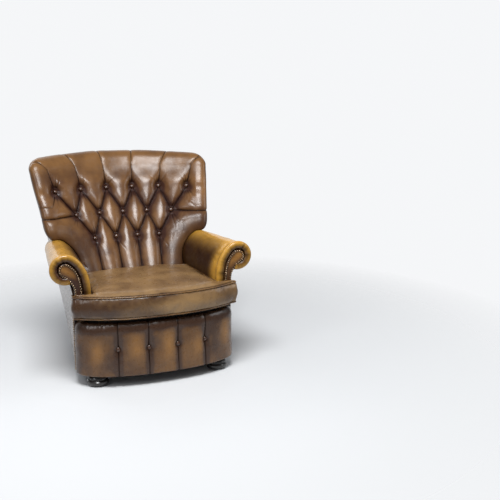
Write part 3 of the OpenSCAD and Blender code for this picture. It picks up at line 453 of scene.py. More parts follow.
def tufting(x, z):
    """Height of the swelling over the base, and the shade painted into each pleat and button pit."""
    gaps = np.array([run_distance(x, z, *run)[0] for run in full_pleats])
    nearest = gaps.min(axis=0)
    smooth = np.sum((gaps + 0.3 * mm) ** -sharpness, axis=0) ** (-1 / sharpness)
    height = pillow(smooth / pillow_reach)
    # Painted shade: a dark line in each pleat and a soft shade beside it.
    fold_shade = np.exp(-(nearest / pleat_w) ** 2)
    fold_shade = np.maximum(fold_shade, 0.32 * np.exp(-nearest / pleat_shade_w))
    for start, end, depths, reaches in fading_pleats:
        gap, t = run_distance(x, z, start, end)
        depth = mix(*depths, ease(t * 1.15))
        height *= 1 - depth * (1 - pillow(gap / mix(*reaches, t)))
        line = np.exp(-(gap / fading_pleat_w) ** 2)
        height -= 0.055 * line * (1 - 0.3 * t)
        # Painted shade along the fading pleats too.
        fold_shade = np.maximum(fold_shade, line * mix(0.95, 0.8, t))
        fold_shade = np.maximum(fold_shade, 0.30 * np.exp(-gap / pleat_shade_w) * depth)
    near = button_distance(x, z)
    height = height * (1 - np.exp(-(near / button_soft) ** 2)) * tuft_height
    height -= pit_depth * np.exp(-(near / pit_soft) ** 2)
    # Painted shade in the button pits.
    fold_shade = np.maximum(fold_shade, 0.95 * np.exp(-(near / button_shade_w) ** 2))
    return height, fold_shade


print("pleats:", len(full_pleats) + len(fading_pleats), "buttons:", len(back_buttons))

# %% [markdown]
# ## Wrinkles
# Leather that is pulled to a button gathers into fine rays, most of them above and below it, and
# loose leather makes long soft creases. Both are drawn as short grooves: a place, a direction, a
# length and a width. Random draws come from a generator with a fixed seed, so every run gives the
# same hide.

# %% Wrinkles
groove_start = 6 * mm
ray_count, ray_step = 10, 0.23


def groove(x, z, cx, cz, angle, start, length, width, depth, bend):
    """One soft groove that leaves (cx, cz) at an angle."""
    u = (x - cx) * math.cos(angle) + (z - cz) * math.sin(angle)
    v = (z - cz) * math.cos(angle) - (x - cx) * math.sin(angle)
    v = v + bend * u * u
    along = ease((u - start) / groove_start) * (1 - ease((u - start) / length))
    return depth * np.exp(-(v / width) ** 2) * along


def button_rays(x, z, places, seed, reach=76 * mm, depth=4.0 * mm):
    """Fine gathers above and below each button."""
    draw = np.random.default_rng(seed)
    total = np.zeros_like(x)
    for cx, cz in places:
        near = np.hypot(x - cx, z - cz) < reach * 1.6
        for i in range(ray_count):
            upright = math.pi / 2 if i % 2 else -math.pi / 2
            angle = upright + (i // 2 - (ray_count - 2) / 4) * ray_step + draw.uniform(-0.05, 0.05)
            total[near] += groove(
                x[near], z[near], cx, cz, angle, draw.uniform(15, 20) * mm, reach * draw.uniform(0.6, 1.1),
                draw.uniform(2.4, 3.4) * mm, depth * draw.uniform(0.45, 1.0), draw.uniform(-2.5, 2.5),
            )
    return total


print("gathers on the back:", ray_count * len(back_buttons))

# %% [markdown]
# ## The back: one hide from the seat over the crest
# The grid has three zones. The front is the buttoned barrel. Round its edge runs a quarter roll,
# and behind that the leather goes straight back to the outside panel. At the two upper corners
# the square grid is bent onto circles, which rounds the corner without a pole. Columns that
# pass close to a pleat are moved onto it, so that each fold stays a crisp line.

# %% Grid of the back
roll_w = 68 * mm
roll_d = 42 * mm
back_low_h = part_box("back_pad")[0].z
crown_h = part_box("back_pad")[1].z
crown_fall = 18 * mm
crown_fall_w = 430 * mm
wing_foot_h = 606 * mm
rear_top_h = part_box("outside_back")[1].z
fine = 3.0 * mm
wing_middle_h = 750 * mm


def wing_half(z):
    return mix(wing_half_low, wing_half_top, (np.minimum(z, roll_start_h) - wing_foot_h)
               / (roll_start_h - wing_foot_h))


def spread(stops, step):
    """Numbers from stop to stop, with steps of about one size, that hit every stop."""
    parts = [np.linspace(a, b, max(2, round(abs(b - a) / step)), endpoint=False)
             for a, b in zip(stops[:-1], stops[1:])]
    return np.concatenate([*parts, [stops[-1]]])


roll_arc = 0.5 * math.pi * (roll_w + roll_d) / 2
roll_steps = np.linspace(0, 1, round(roll_arc / fine))[1:]
side_steps = np.linspace(1, 2, 26)[1:]
crest_steps = np.linspace(1, 2, 16)[1:]
inner_half = wing_half(wing_middle_h) - roll_w
inner_columns = np.linspace(-1, 1, round(2 * inner_half / fine))
beyond = np.concatenate([roll_steps, side_steps])
column_share = np.concatenate([-np.ones(len(beyond)), inner_columns, np.ones(len(beyond))])
column_beyond = np.concatenate([beyond[::-1], np.zeros(len(inner_columns)), beyond])
inner_rows = spread([back_low_h, seat_line_h, row_low_h, row_mid_h, row_top_h, roll_start_h], fine)
row_beyond = np.concatenate([np.zeros(len(inner_rows)), roll_steps, crest_steps])
row_h = np.concatenate([inner_rows, np.full(len(roll_steps) + len(crest_steps), roll_start_h)])

flat_z = row_h[:, None] * np.ones(len(column_share))
flat_x = column_share * (wing_half(row_h) - roll_w)[:, None]
for (x0, z0), (x1, z1) in full_pleats + [run[:2] for run in fading_pleats if run[0][1] != run[1][1]]:
    low, high = min(z0, z1), max(z0, z1)
    for r in np.nonzero((row_h >= low) & (row_h <= high) & (row_beyond == 0))[0]:
        x = mix(x0, x1, share01((row_h[r] - z0) / (z1 - z0)))
        c = np.argmin(np.abs(flat_x[r] - x))
        if column_beyond[c] == 0:
            flat_x[r, c] = x
flat_x[row_beyond > 0] = flat_x[row_beyond == 0][-1]
print("grid of the back:", flat_x.shape)

# %% [markdown]
# ## The arm's outline
# Both the arm and the lower edge of the back need the arm's section, so it comes first. It climbs
# straight from the seat, leans outwards in one curve and rolls over in a scroll. Every size
# slides from its value at the front ring to its value at the rear.

# %% Outline of the arm
arm_front_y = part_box("arm_pad_right")[0].y
arm_rear_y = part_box("arm_pad_right")[1].y
arm_foot_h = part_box("arm_pad_right")[0].z
arm_in = (306 * mm, 266 * mm)
scroll_x = (417 * mm, 378 * mm)
scroll_z = (556 * mm, 540 * mm)
scroll_r = (66 * mm, 58 * mm)
ring_swell = 6 * mm
ring_fade = 50 * mm
arm_pad_t = 38 * mm
bend_start_h = 450 * mm
scroll_from = math.radians(125)
scroll_to = math.radians(-80)
rise_share, lean_share = 0.48, 0.3


def arm_way(y):
    return share01((y - arm_front_y) / (arm_rear_y - arm_front_y))


def bezier(a, b, c, d, t):
    return (1 - t) ** 3 * a + 3 * t * (1 - t) ** 2 * b + 3 * t * t * (1 - t) * c + t ** 3 * d


def scroll_line(foot, inside, centre, r, turn_to, counts=(20, 24, 50)):
    """Section of an arm from its foot up the inner face and round the scroll, as (x, z) points."""
    rim = centre + r * np.array([math.cos(scroll_from), math.sin(scroll_from)])
    start = np.array([inside, bend_start_h])
    rise = rim[1] - start[1]
    lean = np.array([math.sin(scroll_from), -math.cos(scroll_from)])
    t = np.linspace(0, 1, counts[1], endpoint=False)[:, None]
    curve = bezier(start, start + [0, rise * rise_share], rim - lean * rise * lean_share, rim, t)
    turn = np.linspace(scroll_from, turn_to, counts[2])
    head = centre + r * np.stack([np.cos(turn), np.sin(turn)], axis=1)
    foot_h = np.linspace(foot, bend_start_h, counts[0], endpoint=False)
    return np.concatenate([np.stack([np.full(counts[0], inside), foot_h], axis=1), curve, head])


def arm_section(y, turn_to=scroll_to):
    """The arm's outer section at a depth y."""
    t = arm_way(y)
    r = mix(*scroll_r, t) + ring_swell * math.exp(-((y - arm_front_y) / ring_fade) ** 2)
    centre = np.array([mix(*scroll_x, t), mix(*scroll_z, t)])
    return scroll_line(arm_foot_h, mix(*arm_in, t), centre, r, turn_to)


arm_meets_back_y = 120 * mm
rear_section = arm_section(arm_meets_back_y)
rear_climb = rear_section[: int(np.argmax(rear_section[:, 1])) + 1]
arm_top_h = float(rear_section[:, 1].max())
print("arm top at the rear", round(arm_top_h, 3), "m")


def above_arm(x, z):
    """Distance from the arm's leather, in the plane of the back; below 0 is inside the arm."""
    face = np.interp(z, rear_climb[:, 1], rear_climb[:, 0])
    gap = np.full(x.shape, np.inf)
    for px, pz in rear_climb:
        gap = np.minimum(gap, np.hypot(np.abs(x) - px, z - pz))
    inside = (np.abs(x) > face) & (z < arm_top_h)
    over = np.abs(x) > rear_climb[-1, 0]
    gap = np.where(over, np.abs(z - arm_top_h), gap)
    return np.where(inside, -gap, gap)

# %% [markdown]
# ## The back: what presses the hide
# Fanned pleats over the crest, a dip at each side, fine rays at the buttons and loose creases press
# the hide in. Near the arm it tucks in, because it is pulled down tight between arm and back. All
# this could be sculpted by hand, but rules with named sizes can be changed later.

# %% Presses of the back
tuck_reach = 58 * mm
tuck_deep = 30 * mm
crest_line_w, crest_line_press = 2.8 * mm, 2.6 * mm
crest_dip_reach, crest_dip = 26 * mm, 3.0 * mm
side_dip_w, side_dip = 5 * mm, 2.4 * mm
worn_edge_x, worn_edge_w, worn_edge_h = 440 * mm, 35 * mm, 660 * mm
worn_crest_h = 900 * mm
button_dark_w = 34 * mm
wing_crease_count, low_crease_count = 18, 14


def loose_creases(x, z):
    """Long soft creases of the wings and of the hide beside the channels."""
    draw = np.random.default_rng(11)
    total = np.zeros_like(x)
    for s in (-1, 1):
        for _ in range(wing_crease_count):
            angle = draw.uniform(-1.2, 1.2) + (0 if s > 0 else math.pi)
            total += groove(x, z, s * draw.uniform(0.27, 0.36), draw.uniform(0.64, 0.86), angle, 0.0,
                            draw.uniform(45, 110) * mm, draw.uniform(2.5, 6) * mm,
                            draw.uniform(0.5, 1.5) * mm, draw.uniform(-3, 3))
        for _ in range(low_crease_count):
            angle = draw.uniform(0.7, 1.8) if s > 0 else math.pi - draw.uniform(0.7, 1.8)
            total += groove(x, z, s * draw.uniform(0.19, 0.3), draw.uniform(0.44, 0.62), angle, 0.0,
                            draw.uniform(40, 100) * mm, draw.uniform(2, 5) * mm,
                            draw.uniform(0.5, 1.5) * mm, draw.uniform(-4, 4))
    return total


def back_zones():
    """How far round the edge each point of the grid lies, and how much the edge faces out and up."""
    over_x = np.tile(column_beyond, (len(row_h), 1))
    over_z = np.tile(row_beyond[:, None], (1, len(column_share)))
    reach = np.maximum(over_x, over_z)
    safe = np.maximum(reach, 1e-9)
    quarter = math.pi / 4
    turn = np.where(over_x >= over_z, quarter * over_z / safe, 2 * quarter - quarter * over_x / safe)
    return over_x, over_z, reach, np.cos(turn) * (over_x > 0), np.sin(turn) * (over_z > 0)


def back_press(x, over_x, over_z, upward, behind, crest_pitch, open_share):
    """How far crest pleats, side dips, rays and creases press the hide in, and the shade painted in them."""
    # The second result is painted shade: along the crest pleats, in the side dips and in the gathers.
    press, fold_shade = np.zeros_like(x), np.zeros_like(x)
    crest_share = ease(over_z / 0.35) * upward
    for k in top_places:
        gap = np.abs(x - k * crest_pitch)
        line = np.exp(-(gap / crest_line_w) ** 2) * crest_line_press
        line += crest_dip * (1 - pillow(gap / crest_dip_reach))
        press += crest_share * line * (1 - 0.5 * behind)
        fold_shade = np.maximum(fold_shade, 0.90 * np.exp(-(gap / (2.6 * mm)) ** 2) * crest_share)
    side_gap = np.abs(flat_z - row_mid_h)
    beside = (over_x > 0) & (over_z == 0)
    press += beside * side_dip * np.exp(-(side_gap / side_dip_w) ** 2) * (1 - 0.5 * behind)
    fold_shade = np.maximum(fold_shade, 0.7 * np.exp(-(side_gap / (3 * mm)) ** 2) * beside)
    rays = button_rays(flat_x, flat_z, back_buttons, seed=4)
    press += (rays + loose_creases(flat_x, flat_z)) * open_share
    return press, np.maximum(fold_shade, share01(rays / (5.5 * mm)))


def arm_tuck(gap):
    """How far the hide is pulled in near the arm, and the shade painted there: a dark line at the joint and a
    wide shade that also dulls the shine.
    """
    tuck = share01(1 - gap / tuck_reach)
    tucked = tuck_deep * (1 - np.sqrt(1 - tuck ** 2))
    # Painted shade: a dark line where the hide meets the arm, and a wide soft shade beside it.
    line = 0.95 * np.exp(-np.maximum(gap, 0) / (6 * mm))
    shade = 0.40 * np.exp(-(gap / (90 * mm)) ** 2)
    return np.where(gap < 0, tuck_deep - gap * 0.4, tucked), np.maximum(line, shade)


def back_wear_at(x, z, side, swelling, open_share, reach, behind):
    """Worn on the outer roll, the crest and the pillows, dark round the buttons."""
    wear_and_shade = (0.50 + 0.25 * side) * np.exp(-((np.abs(x) - worn_edge_x) / worn_edge_w) ** 2)
    wear_and_shade *= ease((z - worn_edge_h) / (200 * mm))
    wear_and_shade += 0.52 * ease((z - worn_crest_h) / (80 * mm)) * (1 - behind)
    wear_and_shade += 0.60 * ease((swelling / tuft_height - 0.12) / 0.6) * mix(1, open_share, 0.5) - 0.34
    return wear_and_shade - 0.30 * np.exp(-(button_distance(flat_x, flat_z) / button_dark_w) ** 2) * (reach < 0.3)


print("loose creases:", 2 * (wing_crease_count + low_crease_count))

# %% [markdown]
# ## The back: shape
# The flat grid is now bent, and its edge rolls away. Above the top buttons the stuffing puffs out,
# and from there the pleats fan out over the crest. Cloth could be blown up here too, but its buttons
# and pleats would wander, so each point is placed by formula. What would lie deep inside the arm is
# cut away. A Solidify modifier gives the hide its padding's thickness, so the form is closed.

# %% Shape of the back
crest_fan = 0.42
bend_soft = 14 * mm
puff_height = 9 * mm
puff_above, puff_w = 42 * mm, 40 * mm
rear_run = 60 * mm
hide_wave, hide_ripple = 1.9 * mm, 0.30 * mm
tuck_cut = 16 * mm
padding_t = 9 * mm


def back_shape():
    """Points, painted shade and wear of the whole hide, and the distance of its points from the arm."""
    over_x, over_z, reach, outward, upward = back_zones()
    side = np.sign(column_share)[None, :] * np.ones_like(over_x)
    roll = np.minimum(reach, 1) * math.pi / 2
    behind = np.maximum(reach - 1, 0)
    open_share = np.cos(roll) ** 0.8

    crown = crown_h - crown_fall * (flat_x / crown_fall_w) ** 2
    fade = mix(behind ** 1.5, 1 - np.sqrt(1 - behind ** 2), upward ** 2)
    narrow = wing_half(flat_z) - rear_half(flat_z) - 1 * mm
    x = flat_x + side * outward * (roll_w * np.sin(roll) - narrow * fade)
    z = flat_z + upward * ((crown - roll_start_h) * np.sin(roll) - (crown - rear_top_h) * fade)

    over_len = np.minimum(reach, 1) * roll_arc + behind * rear_run
    crest_pitch = pitch(roll_start_h) + crest_fan * over_len
    fanned_x = mix(flat_x, x * pitch(roll_start_h) / crest_pitch, upward ** 2)
    swelling, fold_shade = tufting(fanned_x, flat_z)
    between = np.abs(flat_x / pitch(flat_z) - np.round(flat_x / pitch(flat_z)))
    puff = np.exp(-((flat_z - row_top_h - puff_above) / puff_w) ** 2) * np.cos(math.pi * between) ** 2
    swelling += puff_height * puff * (np.abs(flat_x) < row_x(2.5, row_top_h))
    base = back_base(x, back_bend_h - bend_soft * np.log1p(np.exp((back_bend_h - z) / bend_soft)))
    y = base - swelling * open_share + roll_d * (1 - np.cos(roll))
    y = mix(y, rear_face(x, np.minimum(z, crest_h)) - 1.5 * mm, behind)
    points = np.stack([x, y, z], axis=-1)

    press, press_shade = back_press(x, over_x, over_z, upward, behind, crest_pitch, open_share)
    gap = above_arm(x, z)
    tuck, tuck_shade = arm_tuck(gap)
    hide = soft_noise(points, 0.19, 3) * hide_wave + soft_noise(points, 0.06, 5) * hide_ripple
    inward = np.stack([-side * outward * np.sin(roll), np.cos(roll), -upward * np.sin(roll)], axis=-1)
    points = points + inward * (press + tuck + hide * (1 - behind))[..., None]
    # Painted shade over the crest above the top buttons, which also dulls its shine.
    crest_shade = 0.20 * ease((flat_z - row_top_h - 30 * mm) / (50 * mm))
    fold_shade = np.max([fold_shade, press_shade, tuck_shade, crest_shade], axis=0)
    return points, fold_shade, back_wear_at(x, z, side, swelling, open_share, reach, behind), gap


back_points, back_fold_shade, back_wear, arm_gap = back_shape()
back_faces = grid_faces(*arm_gap.shape)
keep = (arm_gap.ravel()[back_faces] > -tuck_cut).any(axis=1)
back_piece = mesh_object("back_leather_cover", back_points, back_faces[keep], back_leather,
                         {"fold_shade": back_fold_shade, "wear_and_shade": back_wear})
tidy_mesh(back_piece, outward=False)
padding = back_piece.modifiers.new("padding", "SOLIDIFY")
padding.thickness = padding_t
padding.offset = -1
dress(back_piece, "back_leather", "back_pad", fill=0.8)

# %% [markdown]
# ## Arm pads: folds and ring
# At the front of each arm stands a padded ring, a half roll of leather over wadding round the
# facing. Folds run back from its nails, and longer ones lie further back. A torus could serve as
# the ring, but the arm is no circle, so rows of its own outline turn round the front edge.

# %% Folds and ring of the arms
ring_t = arm_pad_t - 1 * mm
ring_depth = 17 * mm
ring_turns = np.linspace(0, math.pi, 21)[1:-1]
ring_fold_count, long_fold_count = 44, 14


def closed_sheet(rows):
    """Closes a skin that runs out and back: each row meets its partner from the other end."""
    partner = rows[::-1]
    middle = 0.5 * (rows + partner)
    wide = np.concatenate([middle[:, :1], rows, middle[:, -1:]], axis=1)
    caps = 0.5 * (wide[:1] + wide[-1:])
    return np.concatenate([caps, wide, caps])


def arm_folds(draw, length, place, behind):
    """Folds that run back from the ring and long ones further back, as depths all over the pad."""
    pull = np.zeros((len(behind), place.shape[1]))
    folds = [(draw.uniform(0.08, 0.98), draw.uniform(0.6, 1.8) * mm, draw.uniform(4, 8) * mm / length,
              draw.uniform(20, 55) * mm, draw.uniform(-0.5, 0.5)) for _ in range(ring_fold_count)]
    for at, depth, width, fade, drift in folds:
        line = np.exp(-((place - at - drift * behind) / width) ** 2)
        pull += line * depth * np.exp(-(behind / fade) ** 2) * ease(behind / (6 * mm))
    for _ in range(long_fold_count):
        at, start = draw.uniform(0.30, 0.95), draw.uniform(40, 330) * mm
        drift, width = draw.uniform(-0.8, 0.8), draw.uniform(5, 12) * mm / length
        line = np.exp(-((place - at - drift * (behind - start)) / width) ** 2)
        depth = draw.uniform(0.5, 1.3) * mm
        pull += line * depth * np.exp(-((behind - start) / (draw.uniform(30, 80) * mm)) ** 2)
    return pull, folds


def arm_ring(rim, out, place, folds):
    """Rows of the padded ring at the front, and the shade painted in its pinches and on its inner turn."""
    ring, ring_shade = [], []
    for turn in ring_turns:
        row = rim.copy()
        inward = ring_t * (1 - math.cos(turn)) / 2
        pinch = sum(np.exp(-((place[0] - at) / width) ** 2) * depth for at, depth, width, _, _ in folds)
        pinch = pinch * math.sin(turn) ** 0.5 * (0.2 + 0.8 * turn / math.pi)
        row[:, 0] -= out[:, 0] * inward
        row[:, 2] -= out[:, 1] * inward
        row[:, 1] -= ring_depth * math.sin(turn) ** 0.85 - pinch
        ring.append(row)
        # Painted shade in the pinches and in the hollow of the inner turn by the nails.
        ring_shade.append(pinch / (4 * mm) + ease((turn - 2.2) / 0.9) * 0.8)
    return np.array(ring), np.array(ring_shade)


print("folds on each arm:", ring_fold_count + long_fold_count)

# %% [markdown]
# ## Arm pads
# An arm pad is the arm's outline swept along its length. Behind the ring the hide sinks a little.
# The skin goes round the front and back again inside, so the form is solid.

# %% Arm pads
pad_turn_to = math.radians(-106)
sink_at, sink_w, sink_depth = 30 * mm, 20 * mm, 3.5 * mm
shade_start, shade_fade = 20 * mm, 110 * mm


def arm_pad(side):
    """Points, faces, painted shade and wear of one arm pad."""
    draw = np.random.default_rng(20 + side)
    front = arm_front_y + ring_depth
    stations = front + np.linspace(0, 1, 130) ** 1.15 * (arm_rear_y - front)
    outer = np.array([arm_section(y, pad_turn_to) for y in stations])
    tangent = np.gradient(outer, axis=1)
    out = unit(np.stack([-tangent[..., 1], tangent[..., 0]], axis=-1))
    length = run_lengths(outer[0])
    place = (length / length[-1])[None, :]
    depth_y = np.repeat(stations[:, None], outer.shape[1], 1)
    points = np.stack([outer[..., 0], depth_y, outer[..., 1]], axis=-1)
    behind = (stations - front)[:, None]

    pull, folds = arm_folds(draw, length[-1], place, behind)
    sink = sink_depth * np.exp(-((behind - sink_at) / sink_w) ** 2)
    soft = soft_noise(points, 0.13, 31 + side) * 1.2 * mm + soft_noise(points, 0.045, 33 + side) * 0.4 * mm
    relief = (soft - sink - pull) * ease(behind / (10 * mm))
    points[..., 0] += out[..., 0] * relief
    points[..., 2] += out[..., 1] * relief
    ring, ring_shade = arm_ring(points[0], out[0], place, folds)
    inner = points.copy()
    inner[..., 0] -= out[..., 0] * ring_t
    inner[..., 2] -= out[..., 1] * ring_t
    rows = closed_sheet(np.concatenate([points[::-1], ring, inner]))

    # Painted shade on the inner face: darker and duller towards the rear, and a darker glaze low down beside
    # the seat. The hide is also darker where the scroll turns under, and the left arm is duller.
    inside = 1 - ease((place - 0.36) / 0.24)
    shaded = inside * ease((behind - shade_start) / shade_fade)
    fold_shade = np.concatenate([(pull / (6 * mm) + 0.62 * shaded)[::-1], ring_shade, np.zeros(pull.shape)])
    duller = 0.15 * (side < 0)
    worn_and_shaded = 1.0 - shaded - duller - 0.25 * ease((place - 0.80) / 0.15)
    worn_and_shaded = worn_and_shaded - 0.35 * ease((0.25 - place) / 0.25) * ease(behind / (60 * mm))
    ring_wear = 1.0 - duller - 0.9 * ease((ring_turns - 0.7) / 1.5)[:, None]
    wear_and_shade = np.concatenate([worn_and_shaded[::-1], np.repeat(ring_wear, worn_and_shaded.shape[1], 1), np.zeros(worn_and_shaded.shape)])
    if side < 0:
        rows = rows * np.array([-1, 1, 1])
    return rows, grid_faces(*rows.shape[:2]), np.pad(fold_shade, 1), np.pad(wear_and_shade, 1)


for side, word in both_sides:
    rows, faces, fold_shade, wear_and_shade = arm_pad(side)
    pad = mesh_object("arm_pad_cover_" + word, rows, faces, arm_leather, {"fold_shade": fold_shade, "wear_and_shade": wear_and_shade})
    tidy_mesh(pad, merge=0.01 * mm)
    dress(pad, "arm_leather", "arm_pad_" + word, fill=0.8)

# %% [markdown]
# ## Facings
# The scroll's facing is a board under leather. A flat cut-out would look like card, so the hide is
# crowned a little and rounded at its edge. The outline goes once round the scroll and the stem, and
# rings of it, each further in, carry the crown.

# %% Facings
facing_y = -390 * mm
facing_foot_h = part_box("arm_facing_right")[0].z
core_drop = 4 * mm
neck_turn = math.radians(-60)
neck_pull_share = 0.85
stem_w = 37 * mm
facing_gap = 1 * mm
crown_steps = ((0.0, 10.0), (0.0, 3.0), (0.03, 1.2), (0.08, 0.5), (0.16, 0.0), (0.3, -1.0), (0.5, -1.8),
               (0.72, -2.3), (0.9, -2.5))
golden_from_h, golden_fade = 490 * mm, 50 * mm


def facing_outline():
    """Outline of the right facing: up the inner side, round the scroll and down the stem."""
    in_x = arm_in[0] + arm_pad_t + facing_gap
    centre = np.array([scroll_x[0] - core_drop / 2, scroll_z[0] - core_drop])
    radius = scroll_r[0] + ring_swell - arm_pad_t - facing_gap
    line = scroll_line(facing_foot_h, in_x, centre, radius, neck_turn, (14, 14, 40))
    out_x = arm_in[0] + arm_pad_t + stem_w - facing_gap
    tip, low = line[-1], np.array([out_x, bend_start_h])
    pull = stem_w * neck_pull_share
    leave = tip + pull * np.array([math.sin(neck_turn), -math.cos(neck_turn)])
    t = np.linspace(0, 1, 13)[1:, None]
    neck = bezier(tip, leave, low + [0, pull], low, t)
    stem = np.stack([np.full(14, out_x), np.linspace(bend_start_h, facing_foot_h, 15)[1:]], axis=1)
    return np.concatenate([line, neck, stem])


def inset_loop(loop, by):
    """A closed outline moved inwards by a length."""
    ahead = unit(np.roll(loop, -1, axis=0) - np.roll(loop, 1, axis=0))
    return loop + by * np.stack([ahead[:, 1], -ahead[:, 0]], axis=1)


def facing(side):
    """Rings of one facing from its rear edge to its crown, and the wear on them."""
    edge = facing_outline()
    spine = 0.5 * (edge + edge[::-1])
    rows, worn_and_shaded = [], []
    for share, front in crown_steps:
        loop = mix(edge, spine, share)
        rows.append(np.stack([loop[:, 0], np.full(len(loop), facing_y + front * mm), loop[:, 1]], axis=1))
        worn_and_shaded.append(share * 1.2 * ease((loop[:, 1] - golden_from_h) / golden_fade) - 0.30)
    rows = np.array(rows)
    if side < 0:
        rows = rows * np.array([-1, 1, 1])
    return rows, np.array(worn_and_shaded)


for side, word in both_sides:
    rows, worn_and_shaded = facing(side)
    made = mesh_object("facing_cover_" + word, rows, grid_faces(rows.shape[0], rows.shape[1], True),
                       facing_leather, {"wear_and_shade": worn_and_shaded})
    close_mesh(made)
    dress(made, "facing_leather", "arm_facing_" + word)

# %% [markdown]
# ## Front border: plan and profile
# The border bows outwards between the arms. Its plan is a superellipse, which is fuller than a
# circle and meets the side panels squarely. The profile climbs the face, rolls over the top edge
# and runs back under the cushion.

# %% Plan and profile of the border
border_a = 385 * mm
border_root_y = -362 * mm
border_b = border_root_y + 514 * mm
border_power = 2.15
border_low, border_top = hem_h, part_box("front_border")[1].z
border_places = np.array([-1.5, -0.5, 0.5, 1.5]) * 141 * mm
low_edge_r = 9 * mm
top_roll_d, top_roll_h = 24 * mm, 40 * mm
border_back = 40 * mm


def bow(turn):
    """Point of the bow's plan at an angle."""
    c, s = np.cos(turn), np.sin(turn)
    return np.stack([np.sign(c) * border_a * np.abs(c) ** (2 / border_power),
                     border_root_y - border_b * np.abs(s) ** (2 / border_power)], axis=-1)


bow_table = bow(np.linspace(math.pi, 0, 4001))
bow_length = run_lengths(bow_table)
bow_stops = np.interp(border_places, bow_table[:, 0], bow_length)


def bow_at(s):
    """Points and outward directions of the bow at arc lengths s."""
    point = np.stack([np.interp(s, bow_length, bow_table[:, i]) for i in (0, 1)], axis=-1)
    ahead = unit(np.gradient(point, axis=0))
    return point, np.stack([ahead[:, 1], -ahead[:, 0]], axis=-1)


def border_profile():
    """Section of the border: round the lower edge, up the face, over the top and down behind."""
    face_h = np.linspace(border_low + low_edge_r, border_top - top_roll_h, 70)
    low_turn = np.linspace(-math.pi / 2, 0, 7)[:-1]
    top_turn = np.linspace(0, math.pi / 2, 20)[1:]
    low_edge = [(low_edge_r * (math.cos(t) - 1), border_low + low_edge_r * (1 + math.sin(t)))
                for t in low_turn]
    top_roll = [(top_roll_d * (math.cos(t) - 1), border_top + top_roll_h * (math.sin(t) - 1))
                for t in top_turn]
    top_run = [(-top_roll_d - d * mm, border_top - d * d * 0.002 * mm) for d in (3, 7, 12, 18, 24)]
    behind = [(-border_back, border_top - 12 * mm), (-border_back, border_low + 10 * mm)]
    return np.array([(-top_roll_d, border_low), *low_edge, *[(0.0, h) for h in face_h], *top_roll, *top_run,
                     *behind])


print("the bow is", round(float(bow_length[-1]), 3), "m long")

# %% [markdown]
# ## Front border
# The plan and the profile span a grid, whose columns are spaced by arc length and fall exactly on
# the four pleats. Cloth could fill the panels, but a formula keeps each button at its place.

# %% Front border
border_button_h = 183 * mm
border_reach, border_reach_top = 50 * mm, 24 * mm
border_depth = 15 * mm
pucker_count = 60
worn_panels, worn_panel_pitch, worn_panel_h = (-2.05, -0.85, 0.15, 1.15, 2.2), 152 * mm, 190 * mm


def border_pleats(s, height):
    """Share of the full swelling, painted shade and wear that the pleats and buttons leave."""
    swelling, fold_shade, wear_and_shade = np.ones(height.shape), np.zeros(height.shape), np.zeros(height.shape)
    up = np.abs(height - border_button_h) / (border_top - border_button_h)
    for stop in bow_stops:
        gap = np.abs(s - stop)[None, :]
        depth = mix(0.75, 0.30, ease(up * 1.1))
        swelling *= 1 - depth * (1 - pillow(gap / mix(border_reach, border_reach_top, ease(up))))
        # Painted shade: a dark line in each pleat, a soft shade beside it and a dark pit at each button.
        crease = np.exp(-(gap / (2.7 * mm)) ** 2)
        swelling -= 0.16 * crease
        fold_shade = np.maximum(fold_shade, crease * mix(1.0, 0.8, up))
        fold_shade = np.maximum(fold_shade, 0.22 * np.exp(-gap / (9 * mm)) * depth)
        pit = np.hypot(gap, height - border_button_h)
        swelling -= 0.55 * np.exp(-(pit / (15 * mm)) ** 2)
        fold_shade = np.maximum(fold_shade, 0.9 * np.exp(-(pit / (13 * mm)) ** 2))
        wear_and_shade -= 0.45 * np.exp(-(gap - 6 * mm) ** 2 / (13 * mm) ** 2)
    return swelling, fold_shade, wear_and_shade


def border_puckers(s, height):
    """Small puckers that run down from the top edge."""
    draw = np.random.default_rng(8)
    total = np.zeros(height.shape)
    for _ in range(pucker_count):
        at, tall = draw.uniform(0, bow_length[-1]), draw.uniform(18, 46) * mm
        line = np.exp(-((s - at) / (draw.uniform(4, 10) * mm)) ** 2)[None, :]
        total += line * np.exp(-((border_top - height) / tall) ** 2) * draw.uniform(0.4, 1.4) * mm
    return total


def border_wear(s, height):
    """Dark along the top edge and at both ends, and a worn patch in the middle of each panel."""
    wear_and_shade = 0.02 - 0.75 * ease((height - (border_top - 62 * mm)) / (50 * mm))
    wear_and_shade -= 0.35 * np.exp(-(np.minimum(s, bow_length[-1] - s) / (45 * mm)) ** 2)[None, :]
    for panel in worn_panels:
        gap = (s - bow_length[-1] / 2 - panel * worn_panel_pitch)[None, :]
        tall = height - worn_panel_h - 20 * mm * math.sin(panel * 4)
        wear_and_shade += 0.65 * np.exp(-(gap / (34 * mm)) ** 2 - (tall / (62 * mm)) ** 2)
    return wear_and_shade


def border_shape():
    """Points, painted shade and wear of the whole border."""
    s = spread([0, *bow_stops, bow_length[-1]], fine)
    point, out = bow_at(s)
    profile = border_profile()
    push, height = profile[:, 0][:, None], profile[:, 1][:, None] * np.ones(len(s))
    swelling, fold_shade, pleat_wear = border_pleats(s, height)
    faces_out = (push > 1 * mm - border_back) & (height > border_low + 2 * mm)
    rise = ((1 - swelling) * border_depth + border_puckers(s, height)) * faces_out
    xy = point[None] + out[None] * (push - rise)[..., None]
    points = np.stack([xy[..., 0], xy[..., 1], height - 0.35 * rise * (push < -15 * mm)], axis=-1)
    hide = soft_noise(points, 0.12, 51) * 1.3 * mm + soft_noise(points, 0.04, 52) * 0.5 * mm
    buttons = [(stop, border_button_h) for stop in bow_stops]
    along = s[None, :] * np.ones(height.shape)
    rays = button_rays(along, height, buttons, seed=9, reach=40 * mm, depth=1.2 * mm)
    points[..., :2] -= out[None] * ((hide + rays) * faces_out)[..., None]
    return points, fold_shade, pleat_wear + border_wear(s, height)


